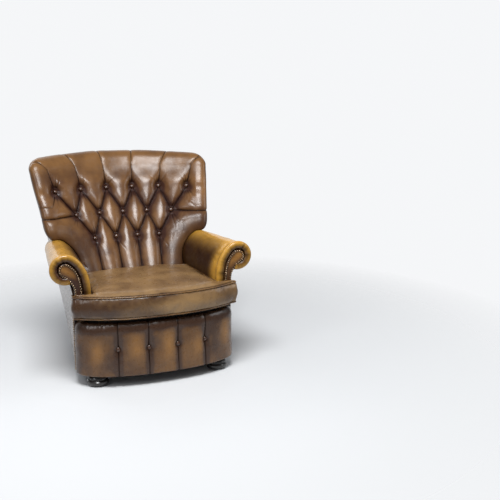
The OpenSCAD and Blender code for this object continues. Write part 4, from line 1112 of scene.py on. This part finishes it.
points, fold_shade, wear_and_shade = border_shape()
border = mesh_object("front_border_cover", points, grid_faces(*points.shape[:2]), border_leather,
                     {"fold_shade": fold_shade, "wear_and_shade": wear_and_shade})
close_mesh(border)
dress(border, "border_leather", "front_border", fill=0.7)

# %% [markdown]
# ## Outside arms, wings and outside back
# The outer panels are plain hide over board, drawn tight: one on each arm, one on each wing between
# the arm and the back, and one over the whole back. Each is a thin sheet whose middle swells by a
# few millimetres, with its edges turned under, so that light runs softly over it and the edge shows
# as a fold and not as a cut.

# %% Outside panels
side_front_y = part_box("outside_arm_right")[0].y
side_rear_y = 250 * mm
panel_bend_h = 430 * mm
panel_top_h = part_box("outside_arm_right")[1].z
panel_flare = 8 * mm
wing_panel_top_h = 700 * mm


def side_x(y, z):
    return mix(border_a, rear_half(z), (y - side_front_y) / (side_rear_y - side_front_y))


def turned_edges(counts, surface, thick, turn, crown):
    """A panel over u and v from 0 to 1: swollen in its middle, its edges turned under, closed behind."""
    edge = turn * (1 - np.sin(np.linspace(0, math.pi / 2, 6)[:-1]))
    spans = [np.concatenate([np.zeros(5), np.linspace(0, 1, count), np.ones(5)]) for count in counts]
    depths = [np.concatenate([edge, np.zeros(count), edge[::-1]]) for count in counts]
    grid_u, grid_v = np.meshgrid(*spans, indexing="ij")
    depth = np.maximum(depths[0][:, None], depths[1][None, :])
    lift = crown * (1 - (2 * grid_u - 1) ** 8) * (1 - (2 * grid_v - 1) ** 8)
    return surface(grid_u, grid_v, lift - depth), surface(grid_u, grid_v, np.full(depth.shape, -thick))


def panel_object(name, material, counts, surface, thick, turn=5 * mm, crown=4 * mm):
    """One closed panel with so many points each way."""
    face, behind = turned_edges(counts, surface, thick, turn, crown)
    rows, columns = face.shape[:2]
    front_faces = grid_faces(rows, columns)
    faces = np.concatenate([front_faces, front_faces[:, ::-1] + rows * columns])
    made = mesh_object(name, np.concatenate([face.reshape(-1, 3), behind.reshape(-1, 3)]), faces, material)
    close_mesh(made, bridge=True)
    return made


def side_surface(side):
    def place(u, v, lift):
        y = mix(side_front_y, side_rear_y + 100 * mm, u)
        y = np.minimum(y, rear_face(rear_low_half, hem_h + (panel_top_h - hem_h) * v) - 6 * mm)
        z = mix(hem_h, panel_top_h, v)
        flare = panel_flare * (1 - u) * ease((z - panel_bend_h) / (panel_top_h - panel_bend_h))
        points = np.stack([side * (side_x(y, z) + flare + lift), y, z], axis=-1)
        points[..., 0] += side * soft_noise(points, 0.3, 61 + side) * 1.6 * mm * (lift > 0)
        return points
    return place


def wing_surface(side):
    def place(u, v, lift):
        z = mix(panel_top_h + 1 * mm, wing_panel_top_h, v)
        half = rear_half(z) - 1.5 * mm
        y = mix(arm_rear_y + 1 * mm, rear_face(half, z) - 4 * mm, u)
        return np.stack([side * (half + lift), y, z], axis=-1)
    return place


def rear_surface(u, v, lift):
    z = mix(hem_h, rear_top_h - 2 * mm, v)
    x = (2 * u - 1) * (rear_half(z) - 1 * mm)
    points = np.stack([x, rear_face(x, z) - 3 * mm + lift, z], axis=-1)
    points[..., 1] += soft_noise(points, 0.3, 66) * 1.2 * mm * (lift > 0)
    return points


for side, word in both_sides:
    made = panel_object("outside_arm_cover_" + word, side_leather, (70, 60), side_surface(side), 4.5 * mm)
    dress(made, "side_leather", "outside_arm_" + word)
for side, word in both_sides:
    made = panel_object("outside_wing_cover_" + word, side_leather, (30, 44), wing_surface(side), 3 * mm,
                        turn=2 * mm, crown=0.5 * mm)
    dress(made, "back_leather", "outside_wing_" + word)
made = panel_object("outside_back_cover", back_leather, (110, 110), rear_surface, 2 * mm, crown=3 * mm)
dress(made, "back_leather", "outside_back")

# %% [markdown]
# ## Seat cushion
# The cushion is the softest piece. Its plan follows the arms and the bowed front, with two ears
# before the arms. Half of the outline is put together from its parts, then mirrored and cut into
# even steps.

# %% Plan of the cushion
seam_low_h, seam_high_h = 333 * mm, 433 * mm
cushion_low_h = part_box("seat_cushion")[0].z
cushion_half = 388 * mm
cushion_front_y, cushion_corner_y = -514 * mm, -426 * mm
cushion_power = 2.6
corner_r = 16 * mm
ear_y = -399.5 * mm
back_low_half = 262 * mm


def cushion_side(y):
    return mix(*arm_in, arm_way(y)) - 2 * mm


def cushion_rear(x):
    return back_base(np.minimum(np.abs(x), back_low_half), seat_line_h) - tuft_depth - 3 * mm


def arc(centre, r, start, end, count):
    turn = np.radians(np.linspace(start, end, count))
    return np.stack([centre[0] + r * np.cos(turn), centre[1] + r * np.sin(turn)], axis=1)


def cushion_plan():
    """The cushion's outline from above, as even points."""
    bow_end = cushion_half - corner_r
    front_x = np.linspace(0, 0.97, 60) * bow_end
    front_y = mix(cushion_front_y, cushion_corner_y, (front_x / bow_end) ** cushion_power)
    tip_r = (ear_y - cushion_corner_y) / 2
    tip = arc((cushion_half - tip_r, ear_y - tip_r), tip_r, -55, 90, 16)
    ear_x = np.linspace(cushion_half - tip_r - 4 * mm, cushion_side(ear_y) + 6 * mm, 14)
    corner_y = cushion_rear(back_low_half)
    side_y = mix(ear_y, corner_y, np.linspace(0.012, 0.95, 70))
    rear_half_x = cushion_side(corner_y)
    corner = arc((rear_half_x - corner_r, corner_y - corner_r), corner_r, 10, 90, 8)
    rear_x = np.linspace(0.92, 0.02, 40) * rear_half_x
    half = np.concatenate([
        np.c_[front_x, front_y], tip, np.c_[ear_x, np.full(14, ear_y)],
        np.c_[cushion_side(side_y), side_y], corner, np.c_[rear_x, cushion_rear(rear_x)],
    ])
    loop = np.concatenate([half, (half * [-1, 1])[::-1], half[:1]])
    length = run_lengths(loop)
    even = np.linspace(0, length[-1], 640, endpoint=False)
    return np.stack([np.interp(even, length, loop[:, i]) for i in (0, 1)], axis=1)


plan = cushion_plan()
print("cushion plan", np.round(plan.min(0), 3), np.round(plan.max(0), 3))


def plan_distance(points):
    """Distance of points from the cushion's outline, seen from above."""
    nearest = np.full(len(points), np.inf)
    for a, b in zip(plan, np.roll(plan, -1, axis=0)):
        way = b - a
        t = share01((points - a) @ way / (way @ way))
        nearest = np.minimum(nearest, np.hypot(*(points - a - t[:, None] * way).T))
    return nearest

# %% [markdown]
# ## Seat cushion: the filled form
# The prism between the two seams is cut into even cells. Formulas give it the crown of a stuffed
# cushion, then cloth with inner pressure, held at the seams and a little too large for its space,
# adds the puckers that no formula has. A cap keeps each point near the stuffed form, so the cushion
# stays in its place between the arms.

# %% Form of the cushion
seam_inset = 4.5 * mm
cell_size = 5.5 * mm
wall_w = 9 * mm
seat_crown = 20 * mm
crown_reach, edge_reach = 190 * mm, 60 * mm
belly_front, belly_side = 11.5 * mm, 3.5 * mm
cloth_frames = 20
cloth_cap = 4 * mm


def cushion_form():
    """A closed prism over the plan, a little inside the piping, cut into even cells."""
    loop = inset_loop(plan, seam_inset)
    count = len(loop)
    levels_h = (seam_low_h + 1 * mm, seam_high_h - 1 * mm)
    points = np.concatenate([np.c_[loop, np.full(count, h)] for h in levels_h])
    ring = [[i, (i + 1) % count, count + (i + 1) % count, count + i] for i in range(count)]
    mesh = bpy.data.meshes.new("cushion_form")
    mesh.from_pydata(points.tolist(), [], ring + [list(range(count))[::-1], list(range(count, 2 * count))])
    made = new_object("cushion_form", mesh)
    remesh = made.modifiers.new("cells", "REMESH")
    remesh.mode = "VOXEL"
    remesh.voxel_size = cell_size
    even = bpy.data.meshes.new_from_object(evaluated(made))
    bpy.data.objects.remove(made)
    return even


def mesh_points(mesh):
    co = np.empty(len(mesh.vertices) * 3)
    mesh.vertices.foreach_get("co", co)
    return co.reshape(-1, 3)


def plan_outward(points):
    """Direction away from the outline's nearest place, seen from above."""
    ahead = np.roll(plan, -1, axis=0)
    normal = unit(np.stack([(ahead - plan)[:, 1], (plan - ahead)[:, 0]], axis=1))
    nearest = [np.argmin(np.hypot(*(0.5 * (plan + ahead) - p).T)) for p in points]
    return normal[nearest]


def filled(mesh, start, held):
    """Runs cloth with inner pressure on a closed form and returns where its points come to rest."""
    trial = new_object("cushion_trial", mesh.copy())
    trial.data.vertices.foreach_set("co", start.ravel())
    group = trial.vertex_groups.new(name="held")
    group.add(np.nonzero(held)[0].tolist(), 1.0, "REPLACE")
    cloth = trial.modifiers.new("cloth", "CLOTH")
    settings = cloth.settings
    settings.quality = 4
    settings.mass = 0.3
    settings.tension_stiffness = settings.compression_stiffness = 18
    settings.shear_stiffness = 6
    settings.bending_stiffness = 0.12
    settings.vertex_group_mass = "held"
    settings.use_pressure = True
    settings.uniform_pressure_force = 4.0
    settings.shrink_min = -0.035
    settings.effector_weights.gravity = 0.0
    cloth.collision_settings.use_collision = False
    cloth.collision_settings.use_self_collision = False
    cloth.point_cache.frame_start, cloth.point_cache.frame_end = 1, cloth_frames
    for step in range(1, cloth_frames + 1):
        bpy.context.scene.frame_set(step)
    rest = mesh_points(evaluated(trial).data)
    bpy.context.scene.frame_set(1)
    bpy.data.objects.remove(trial)
    return rest


form = cushion_form()
co = mesh_points(form)
edge_gap = plan_distance(co[:, :2])
tall = share01((co[:, 2] - seam_low_h) / (seam_high_h - seam_low_h))
side_wall = edge_gap < wall_w
top = ~side_wall & (tall > 0.5)
under = ~side_wall & (tall <= 0.5)
shaped = co.copy()
crown = 0.55 * pillow(edge_gap[top] / crown_reach) + 0.45 * swell(edge_gap[top] / edge_reach)
shaped[top, 2] += seat_crown * crown
shaped[under, 2] -= (seam_low_h - cushion_low_h) * swell(edge_gap[under] / edge_reach)
outward = plan_outward(co[side_wall, :2])
free_side = co[side_wall, 1] < ear_y + 2 * mm
belly = belly_front * np.sin(math.pi * tall[side_wall]) ** 0.8
belly = np.where(free_side, belly, np.minimum(belly, belly_side))
shaped[side_wall, :2] += outward * belly[:, None]
held = side_wall & ((tall < 0.04) | (tall > 0.96))
moved = filled(form, shaped, held) - shaped
far = np.linalg.norm(moved, axis=1, keepdims=True)
shaped += moved * (cloth_cap * np.tanh(far / cloth_cap) / np.maximum(far, 1e-9))
print("cloth moved up to", round(float(far.max()) * 1000, 1), "mm")
print("cells of the cushion:", len(form.polygons))

# %% [markdown]
# ## Seat cushion: creases and wear
# Loose creases run over the sitting side, most of them along or across it. Shade is painted along
# the seams, and the hide is pale where people sit and tan in the middle and along the lower edge of the
# front.

# %% Creases of the cushion
crease_count = 26
draw = np.random.default_rng(77)
creases = np.zeros(len(co))
for _ in range(crease_count):
    angle = draw.uniform(-0.5, 0.5) + (math.pi / 2 if draw.uniform() < 0.5 else 0)
    creases += groove(co[:, 0], co[:, 1], draw.uniform(-0.28, 0.25), draw.uniform(-0.48, 0.02), angle, 0.0,
                      draw.uniform(50, 150) * mm, draw.uniform(5, 14) * mm, draw.uniform(0.5, 1.6) * mm,
                      draw.uniform(-2, 2))
uneven = (creases + soft_noise(co, 0.13, 72) * 1.4 * mm)[top]
shaped[top, 2] -= uneven * swell(edge_gap[top] / (30 * mm))
shaped[under, 2] = np.maximum(shaped[under, 2], cushion_low_h)
wall_noise = soft_noise(co[side_wall], 0.11, 73) * 1.1 * mm * free_side
shaped[side_wall, :2] += outward * (wall_noise * np.sin(math.pi * tall[side_wall]))[:, None]
form.vertices.foreach_set("co", shaped.ravel())
form.update()
form.polygons.foreach_set("use_smooth", np.ones(len(form.polygons), bool))
form.materials.clear()
form.materials.append(seat_leather)
# Painted shade along both seams, beside the piping.
seam_up = np.minimum(np.abs(co[:, 2] - seam_low_h), np.abs(co[:, 2] - seam_high_h))
fold_shade = 0.85 * np.exp(-(np.hypot(seam_up, edge_gap - seam_inset) / (6 * mm)) ** 2)
wear_and_shade = 1.1 * np.exp(-((co[:, 0] - 60 * mm) / (150 * mm)) ** 2 - ((tall - 0.4) / 0.35) ** 2) - 0.26
wear_and_shade += 0.45 * np.exp(-(tall / 0.14) ** 2) + 0.45 * ease((co[:, 0] + 50 * mm) / (200 * mm))
number_points(form, {"fold_shade": fold_shade, "wear_and_shade": side_wall * wear_and_shade + top * 0.38})
cushion = new_object("seat_cushion_cover", form)
even_out = cushion.modifiers.new("even_out", "SMOOTH")
even_out.factor, even_out.iterations = 0.5, 7
finer = cushion.modifiers.new("finer", "SUBSURF")
finer.levels = finer.render_levels = 1
dress(cushion, "seat_leather", "seat_cushion", body="cushion", fill=0.75)

# %% [markdown]
# ## Trim with Geometry Nodes
# Nails, buttons and piping repeat, so small node trees make them. Each tree has named inputs, and
# its result is kept as a plain mesh.

# %% Trim: shared helpers
def geometry_tree(name, inputs):
    """A new tree with its own inputs, and the nodes where it starts and ends."""
    tree = bpy.data.node_groups.new(name, "GeometryNodeTree")
    tree.interface.new_socket("Geometry", in_out="INPUT", socket_type="NodeSocketGeometry")
    for socket_name, kind in inputs:
        tree.interface.new_socket(socket_name, in_out="INPUT", socket_type=kind)
    tree.interface.new_socket("Geometry", in_out="OUTPUT", socket_type="NodeSocketGeometry")
    start = tree.nodes.new("NodeGroupInput")
    end = tree.nodes.new("NodeGroupOutput")
    return tree, start, end


def finish_tree(tree, start, end, geometry):
    """Smooth shading and the material come last in each tree."""
    smooth = add_node(tree, "GeometryNodeSetShadeSmooth", {"Geometry": geometry})
    painted = add_node(tree, "GeometryNodeSetMaterial", {
        "Geometry": smooth.outputs[0], "Material": start.outputs["Material"],
    })
    tree.links.new(painted.outputs[0], end.inputs[0])
    return tree


def grow(name, mesh, tree, values):
    """Runs a tree on a mesh and returns the result as a plain object."""
    seedling = new_object(name + "_seed", mesh)
    modifier = seedling.modifiers.new("grow", "NODES")
    modifier.node_group = tree
    for item in tree.interface.items_tree:
        if item.in_out == "INPUT" and item.name in values:
            modifier[item.identifier] = values[item.name]
    grown = bpy.data.meshes.new_from_object(evaluated(seedling))
    bpy.data.objects.remove(seedling)
    return new_object(name, grown)


def point_mesh(name, places, directions):
    """Loose points that each carry a direction."""
    mesh = bpy.data.meshes.new(name)
    mesh.from_pydata(np.asarray(places, float).tolist(), [], [])
    layer = mesh.attributes.new("direction", "FLOAT_VECTOR", "POINT")
    layer.data.foreach_set("vector", np.asarray(directions, np.float32).ravel())
    return mesh


def island_centres(node):
    """Centres of the separate solids in one node of the frame."""
    mesh = frame["nodes"][node].data
    co = np.array([v.co for v in mesh.vertices])
    key, same = np.unique(np.round(co, 5), axis=0, return_inverse=True)
    parent = list(range(len(key)))

    def root(i):
        while parent[i] != i:
            parent[i] = parent[parent[i]]
            i = parent[i]
        return i

    same = same.ravel()
    for edge in mesh.edges:
        a, b = root(same[edge.vertices[0]]), root(same[edge.vertices[1]])
        parent[a] = b
    groups = {}
    for i in range(len(key)):
        groups.setdefault(root(i), []).append(key[i])
    return np.array([np.mean(g, axis=0) for g in groups.values()])


def surface_ways(surface, x, z, step, rear=False):
    """Directions that stand off a surface y = surface(x, z), to the front or to the rear."""
    dx = (surface(x + step, z) - surface(x - step, z)) / (2 * step)
    dz = (surface(x, z + step) - surface(x, z - step)) / (2 * step)
    ways = unit(np.stack([dx, -np.ones(len(x)), dz], axis=1))
    return -ways if rear else ways


for word in ("facing_nails_right", "side_nails_right", "back_nails_right", "back_buttons_top"):
    print(word, len(island_centres(word)))

# %% [markdown]
# ## A tree for domes
# A covered button is a low dome with a soft rim, and a nail is a domed head, so one tree makes both:
# it puts a flattened sphere on each point and turns it to the point's direction. Every copy gets a
# slightly different size and tilt, because a hand set them.

# %% Tree for domes
def dome_tree(name):
    """Instances of a flattened dome on points, turned to each point's direction."""
    tree, start, end = geometry_tree(name, [
        ("Radius", "NodeSocketFloat"), ("Height", "NodeSocketFloat"), ("Tilt", "NodeSocketFloat"),
        ("Seed", "NodeSocketInt"), ("Material", "NodeSocketMaterial"),
    ])
    radius, tilt, seed = (start.outputs[key] for key in ("Radius", "Tilt", "Seed"))
    dome = add_node(tree, "GeometryNodeMeshUVSphere", {"Segments": 28, "Rings": 16, "Radius": 1.0})
    size = add_node(tree, "ShaderNodeCombineXYZ", {"X": radius, "Y": radius, "Z": start.outputs["Height"]})
    shaped_dome = add_node(tree, "GeometryNodeTransform", {
        "Geometry": dome.outputs["Mesh"], "Scale": size.outputs[0],
    })
    direction = add_node(tree, "GeometryNodeInputNamedAttribute", {"Name": "direction"},
                         data_type="FLOAT_VECTOR")
    turn = add_node(tree, "FunctionNodeAlignRotationToVector", {"Vector": direction.outputs["Attribute"]},
                    axis="Z")
    copies = add_node(tree, "GeometryNodeInstanceOnPoints", {
        "Points": start.outputs["Geometry"], "Instance": shaped_dome.outputs["Geometry"],
        "Rotation": turn.outputs[0],
    })
    low = arithmetic(tree, "MULTIPLY", tilt, -1.0)
    lean_low, lean_high = (add_node(tree, "ShaderNodeCombineXYZ", {"X": v, "Y": v}) for v in (low, tilt))
    lean = add_node(tree, "FunctionNodeRandomValue", {
        0: lean_low.outputs[0], 1: lean_high.outputs[0], "Seed": seed,
    }, data_type="FLOAT_VECTOR")
    leaned = add_node(tree, "GeometryNodeRotateInstances", {
        "Instances": copies.outputs[0], "Rotation": lean.outputs["Value"],
    })
    scale = add_node(tree, "FunctionNodeRandomValue", {2: 0.95, 3: 1.05, "Seed": seed})
    scaled = add_node(tree, "GeometryNodeScaleInstances", {
        "Instances": leaned.outputs[0], "Scale": scale.outputs[1],
    })
    solid = add_node(tree, "GeometryNodeRealizeInstances", {"Geometry": scaled.outputs[0]})
    return finish_tree(tree, start, end, solid.outputs[0])


def metal(name, bright, dark, rough=0.32, scale=60.0):
    """Metal, bright or tarnished in patches."""
    material, tree, shader = new_material(name)
    place = add_node(tree, "ShaderNodeTexCoord").outputs["Object"]
    tarnish = levels(tree, noise(tree, place, scale, 4.0), 0.36, 0.66)
    tree.links.new(blend_colours(tree, tarnish, bright, dark), shader.inputs["Base Color"])
    tree.links.new(levels(tree, tarnish, 0.0, 1.0, rough, rough + 0.2), shader.inputs["Roughness"])
    shader.inputs["Metallic"].default_value = 1.0
    return material


nail_brass = metal("nail_brass", (0.42, 0.30, 0.19), (0.10, 0.062, 0.038), 0.2, 110.0)
domes = dome_tree("domes")
print("nodes in the tree for domes:", len(domes.nodes))

# %% [markdown]
# ## Buttons and nails
# The places come from the frame or from the pleats, and the direction of each is that of the surface
# under it. They could be modelled one by one, but so many look alike that a rule is enough. The
# sizes give the radius, the height and the largest tilt.

# %% Buttons and nails
nail_size = (4.559 * mm, 3.68 * mm, 0.10)
button_size = (10.8 * mm, 6.5 * mm, 0.12)


def dome_set(name, places, ways, size, material):
    """Domes of one size at some places, each turned its own way."""
    mesh = point_mesh(name + "_places", places, ways)
    return grow(name, mesh, domes, {"Radius": size[0], "Height": size[1], "Tilt": size[2],
                                    "Seed": len(places), "Material": material})


def nail_row(node, directions, sink=0.0):
    places = island_centres(node)
    ways = directions(places)
    made = dome_set(node + "_set", places - ways * sink, ways, nail_size, nail_brass)
    dress(made, "nail_brass", node)


def straight_ahead(places):
    return np.tile([0.0, -1.0, 0.0], (len(places), 1))


def side_direction(side):
    def ways(places):
        turn = (border_a - rear_half(places[:, 2])) / (side_rear_y - side_front_y)
        return unit(np.stack([side * np.ones(len(places)), turn, np.zeros(len(places))], axis=1))
    return ways


def rear_direction(places):
    return surface_ways(rear_face, places[:, 0], places[:, 2], 1 * mm, rear=True)


for side, word in both_sides:
    nail_row("facing_nails_" + word, straight_ahead)
    nail_row("side_nails_" + word, side_direction(side), sink=0.6 * mm)
    nail_row("back_nails_" + word, rear_direction, sink=0.6 * mm)


bx, bz = back_buttons.T
back_ways = surface_ways(back_base, bx, bz, 2 * mm)
back_places = np.stack([bx, back_base(bx, bz) + pit_depth, bz], axis=1) + back_ways * 6 * mm
made = dome_set("back_button_set", back_places, back_ways, button_size, button_leather)
dress(made, "button_leather", "back_buttons_top", "back_buttons_middle", "back_buttons_bottom")
near, out = bow_at(np.sort(np.concatenate([bow_stops, bow_stops + 1 * mm])))
border_ways = np.c_[out[::2], np.zeros(4)]
border_spots = np.c_[near[::2], np.full(4, border_button_h)] - border_ways * border_depth
made = dome_set("border_button_set", border_spots, border_ways, button_size, button_leather)
dress(made, "button_leather", "border_buttons")

# %% [markdown]
# ## Piping
# The piping is a leather-covered cord along both edges of the cushion. A closed line of points
# follows the plan, and the node tree sweeps a circle along it.

# %% Piping
piping_r = 4 * mm
cord_r, cord_wobble = 3.4 * mm, 2.5 * mm


def cord_tree(name):
    """A circle swept along a line that wobbles a little."""
    tree, start, end = geometry_tree(name, [
        ("Radius", "NodeSocketFloat"), ("Wobble", "NodeSocketFloat"), ("Material", "NodeSocketMaterial"),
    ])
    line = add_node(tree, "GeometryNodeMeshToCurve", {"Mesh": start.outputs["Geometry"]})
    place = add_node(tree, "GeometryNodeInputPosition")
    wave = noise(tree, place.outputs[0], 34.0, 2.0, 0.5)
    amount = arithmetic(tree, "MULTIPLY", arithmetic(tree, "SUBTRACT", wave, 0.5), start.outputs["Wobble"])
    shift = add_node(tree, "ShaderNodeCombineXYZ", {"X": amount, "Y": amount, "Z": amount})
    moved = add_node(tree, "GeometryNodeSetPosition", {
        "Geometry": line.outputs[0], "Offset": shift.outputs[0],
    })
    circle = add_node(tree, "GeometryNodeCurvePrimitiveCircle", {
        "Resolution": 14, "Radius": start.outputs["Radius"],
    })
    swept = add_node(tree, "GeometryNodeCurveToMesh", {
        "Curve": moved.outputs[0], "Profile Curve": circle.outputs[0],
    })
    return finish_tree(tree, start, end, swept.outputs[0])


def closed_line(name, points):
    mesh = bpy.data.meshes.new(name)
    count = len(points)
    mesh.from_pydata(points.tolist(), [(i, (i + 1) % count) for i in range(count)], [])
    return mesh


cords = cord_tree("cords")
cord_line = inset_loop(plan, piping_r)
cord_length = run_lengths(np.concatenate([cord_line, cord_line[:1]]))[-1]
print("each piping is", round(float(cord_length), 3), "m long")
for node, height in (("piping_bottom", seam_low_h), ("piping_top", seam_high_h)):
    line = closed_line(node + "_line", np.c_[cord_line, np.full(len(cord_line), height)])
    made = grow(node + "_cord", line, cords, {"Radius": cord_r, "Wobble": cord_wobble,
                                              "Material": piping_leather})
    tidy_mesh(made)
    dress(made, "piping_leather", node, body="cushion")

# %% [markdown]
# ## Hard pieces
# The wooden frame, springs, webbing, foam and feet stay as they came from the frame and only get
# their finishes. Wood has rings stretched along its length, cloth a fine weave, and the feet a
# black lacquer with a little dust in its roughness.

# %% Finishes of the hard pieces
def plain(name, first, second, rough, scale, stretch=(1.0, 1.0, 1.0), bump=0.0, coat=0.0):
    """Two near colours in a grain of some scale."""
    material, tree, shader = new_material(name)
    place = add_node(tree, "ShaderNodeTexCoord").outputs["Object"]
    long = add_node(tree, "ShaderNodeMapping", {"Vector": place, "Scale": stretch}).outputs[0]
    grain = noise(tree, long, scale, 6.0)
    colour = blend_colours(tree, levels(tree, grain, 0.35, 0.65), first, second)
    tree.links.new(colour, shader.inputs["Base Color"])
    tree.links.new(levels(tree, grain, 0.3, 0.7, rough - 0.05, rough + 0.05), shader.inputs["Roughness"])
    shader.inputs["Coat Weight"].default_value = coat
    if bump:
        made = add_node(tree, "ShaderNodeBump", {"Height": grain, "Strength": bump, "Distance": 1 * mm})
        tree.links.new(made.outputs["Normal"], shader.inputs["Normal"])
    return material


finishes = {
    "frame_wood": plain("frame_wood", (0.62, 0.46, 0.28), (0.50, 0.34, 0.19), 0.6, 30.0,
                        stretch=(1.0, 1.0, 0.15), bump=0.2),
    "spring_steel": metal("spring_steel", (0.46, 0.47, 0.49), (0.30, 0.30, 0.31)),
    "lining_cloth": plain("lining_cloth", (0.060, 0.055, 0.050), (0.035, 0.032, 0.030), 0.9, 600.0, bump=0.4),
    "foot_black": plain("foot_black", (0.012, 0.010, 0.009), (0.020, 0.017, 0.015), 0.28, 14.0,
                        coat=0.35),
    "glide_plastic": plain("glide_plastic", (0.03, 0.03, 0.03), (0.04, 0.04, 0.04), 0.5, 80.0),
    "cushion_foam": plain("cushion_foam", (0.80, 0.72, 0.48), (0.72, 0.62, 0.38), 0.95, 300.0, bump=0.5),
    "zip_metal": metal("zip_metal", (0.40, 0.30, 0.16), (0.14, 0.10, 0.05)),
}
for part in frame["record"]["subparts"]:
    if part["material_slot"] in finishes:
        mesh = frame["nodes"][part["node"]].data
        mesh.materials.clear()
        mesh.materials.append(finishes[part["material_slot"]])
print("finishes:", sorted(finishes))

# %% [markdown]
# ## Studio
# A pale floor fades out at a distance, so it runs into the backdrop without a line. The key light
# is large and stands high, a little before the chair, and draws the long white sheen on the pillows.
# A lower light at the left lifts the outer side, a fill at the right keeps the shaded sides brown,
# and one at the rear softens the shadow behind the chair. The world is dim for the chair, but the
# camera sees it as the pale backdrop.

# %% Studio
backdrop = (0.915, 0.925, 0.940)
floor_colour = (0.755, 0.765, 0.775)
floor_fades = (0.75, 2.4)
world_colour, world_strength = (0.90, 0.94, 1.0), 0.20
bpy.ops.mesh.primitive_circle_add(vertices=96, radius=6.0, fill_type="NGON", location=(0, 0, 0))
floor = bpy.context.object
floor.name = "floor"
floor_material, tree, shader = new_material("floor_paint")
shader.inputs["Base Color"].default_value = (*floor_colour, 1.0)
shader.inputs["Roughness"].default_value = 0.6
shader.inputs["Specular IOR Level"].default_value = 0.2
place = add_node(tree, "ShaderNodeTexCoord").outputs["Object"]
away = add_node(tree, "ShaderNodeVectorMath", {0: place}, operation="LENGTH").outputs["Value"]
tree.links.new(levels(tree, away, *floor_fades, 1.0, 0.0), shader.inputs["Alpha"])
floor.data.materials.append(floor_material)


def area_light(name, place, target, size, power, colour):
    """A rectangular lamp that points at a target."""
    data = bpy.data.lights.new(name, "AREA")
    data.shape = "RECTANGLE"
    data.size, data.size_y = size
    data.energy = power
    data.color = colour
    made = new_object(name, data)
    made.location = place
    made.rotation_euler = (Vector(target) - Vector(place)).to_track_quat("-Z", "Y").to_euler()


area_light("key", (-0.40, -1.6, 3.4), (0, 0, 0.5), (1.5, 1.2), 124, (0.97, 0.98, 0.99))
area_light("side", (-2.7, -2.0, 2.3), (0, 0, 0.5), (0.8, 1.4), 22, (0.97, 0.98, 1.0))
area_light("fill", (2.8, -1.2, 1.9), (0, 0, 0.5), (1.2, 1.6), 17, (0.96, 0.98, 1.0))
area_light("rear", (-1.3, 2.3, 2.4), (-0.5, 0.5, 0), (1.8, 1.2), 17, (0.97, 0.98, 1.0))

world = bpy.data.worlds.new("studio")
world.use_nodes = True
bpy.context.scene.world = world
tree = world.node_tree
tree.nodes.clear()
ray = add_node(tree, "ShaderNodeLightPath")
around = add_node(tree, "ShaderNodeBackground", {
    "Color": (*world_colour, 1.0), "Strength": world_strength,
})
seen = add_node(tree, "ShaderNodeBackground", {"Color": (*backdrop, 1.0), "Strength": 1.0})
towards = add_node(tree, "ShaderNodeTexCoord").outputs["Generated"]
way = add_node(tree, "ShaderNodeSeparateXYZ", {0: towards})
mirrored = arithmetic(tree, "MAXIMUM", ray.outputs["Is Glossy Ray"], ray.outputs["Is Transmission Ray"])
mirrored = arithmetic(tree, "MULTIPLY", mirrored, levels(tree, way.outputs["Y"], 0.35, 0.9))
share = arithmetic(tree, "MAXIMUM", ray.outputs["Is Camera Ray"], mirrored)
choose = add_node(tree, "ShaderNodeMixShader", {0: share, 1: around.outputs[0], 2: seen.outputs[0]})
add_node(tree, "ShaderNodeOutputWorld", {"Surface": choose.outputs[0]})
bpy.context.scene.view_settings.view_transform = "Standard"
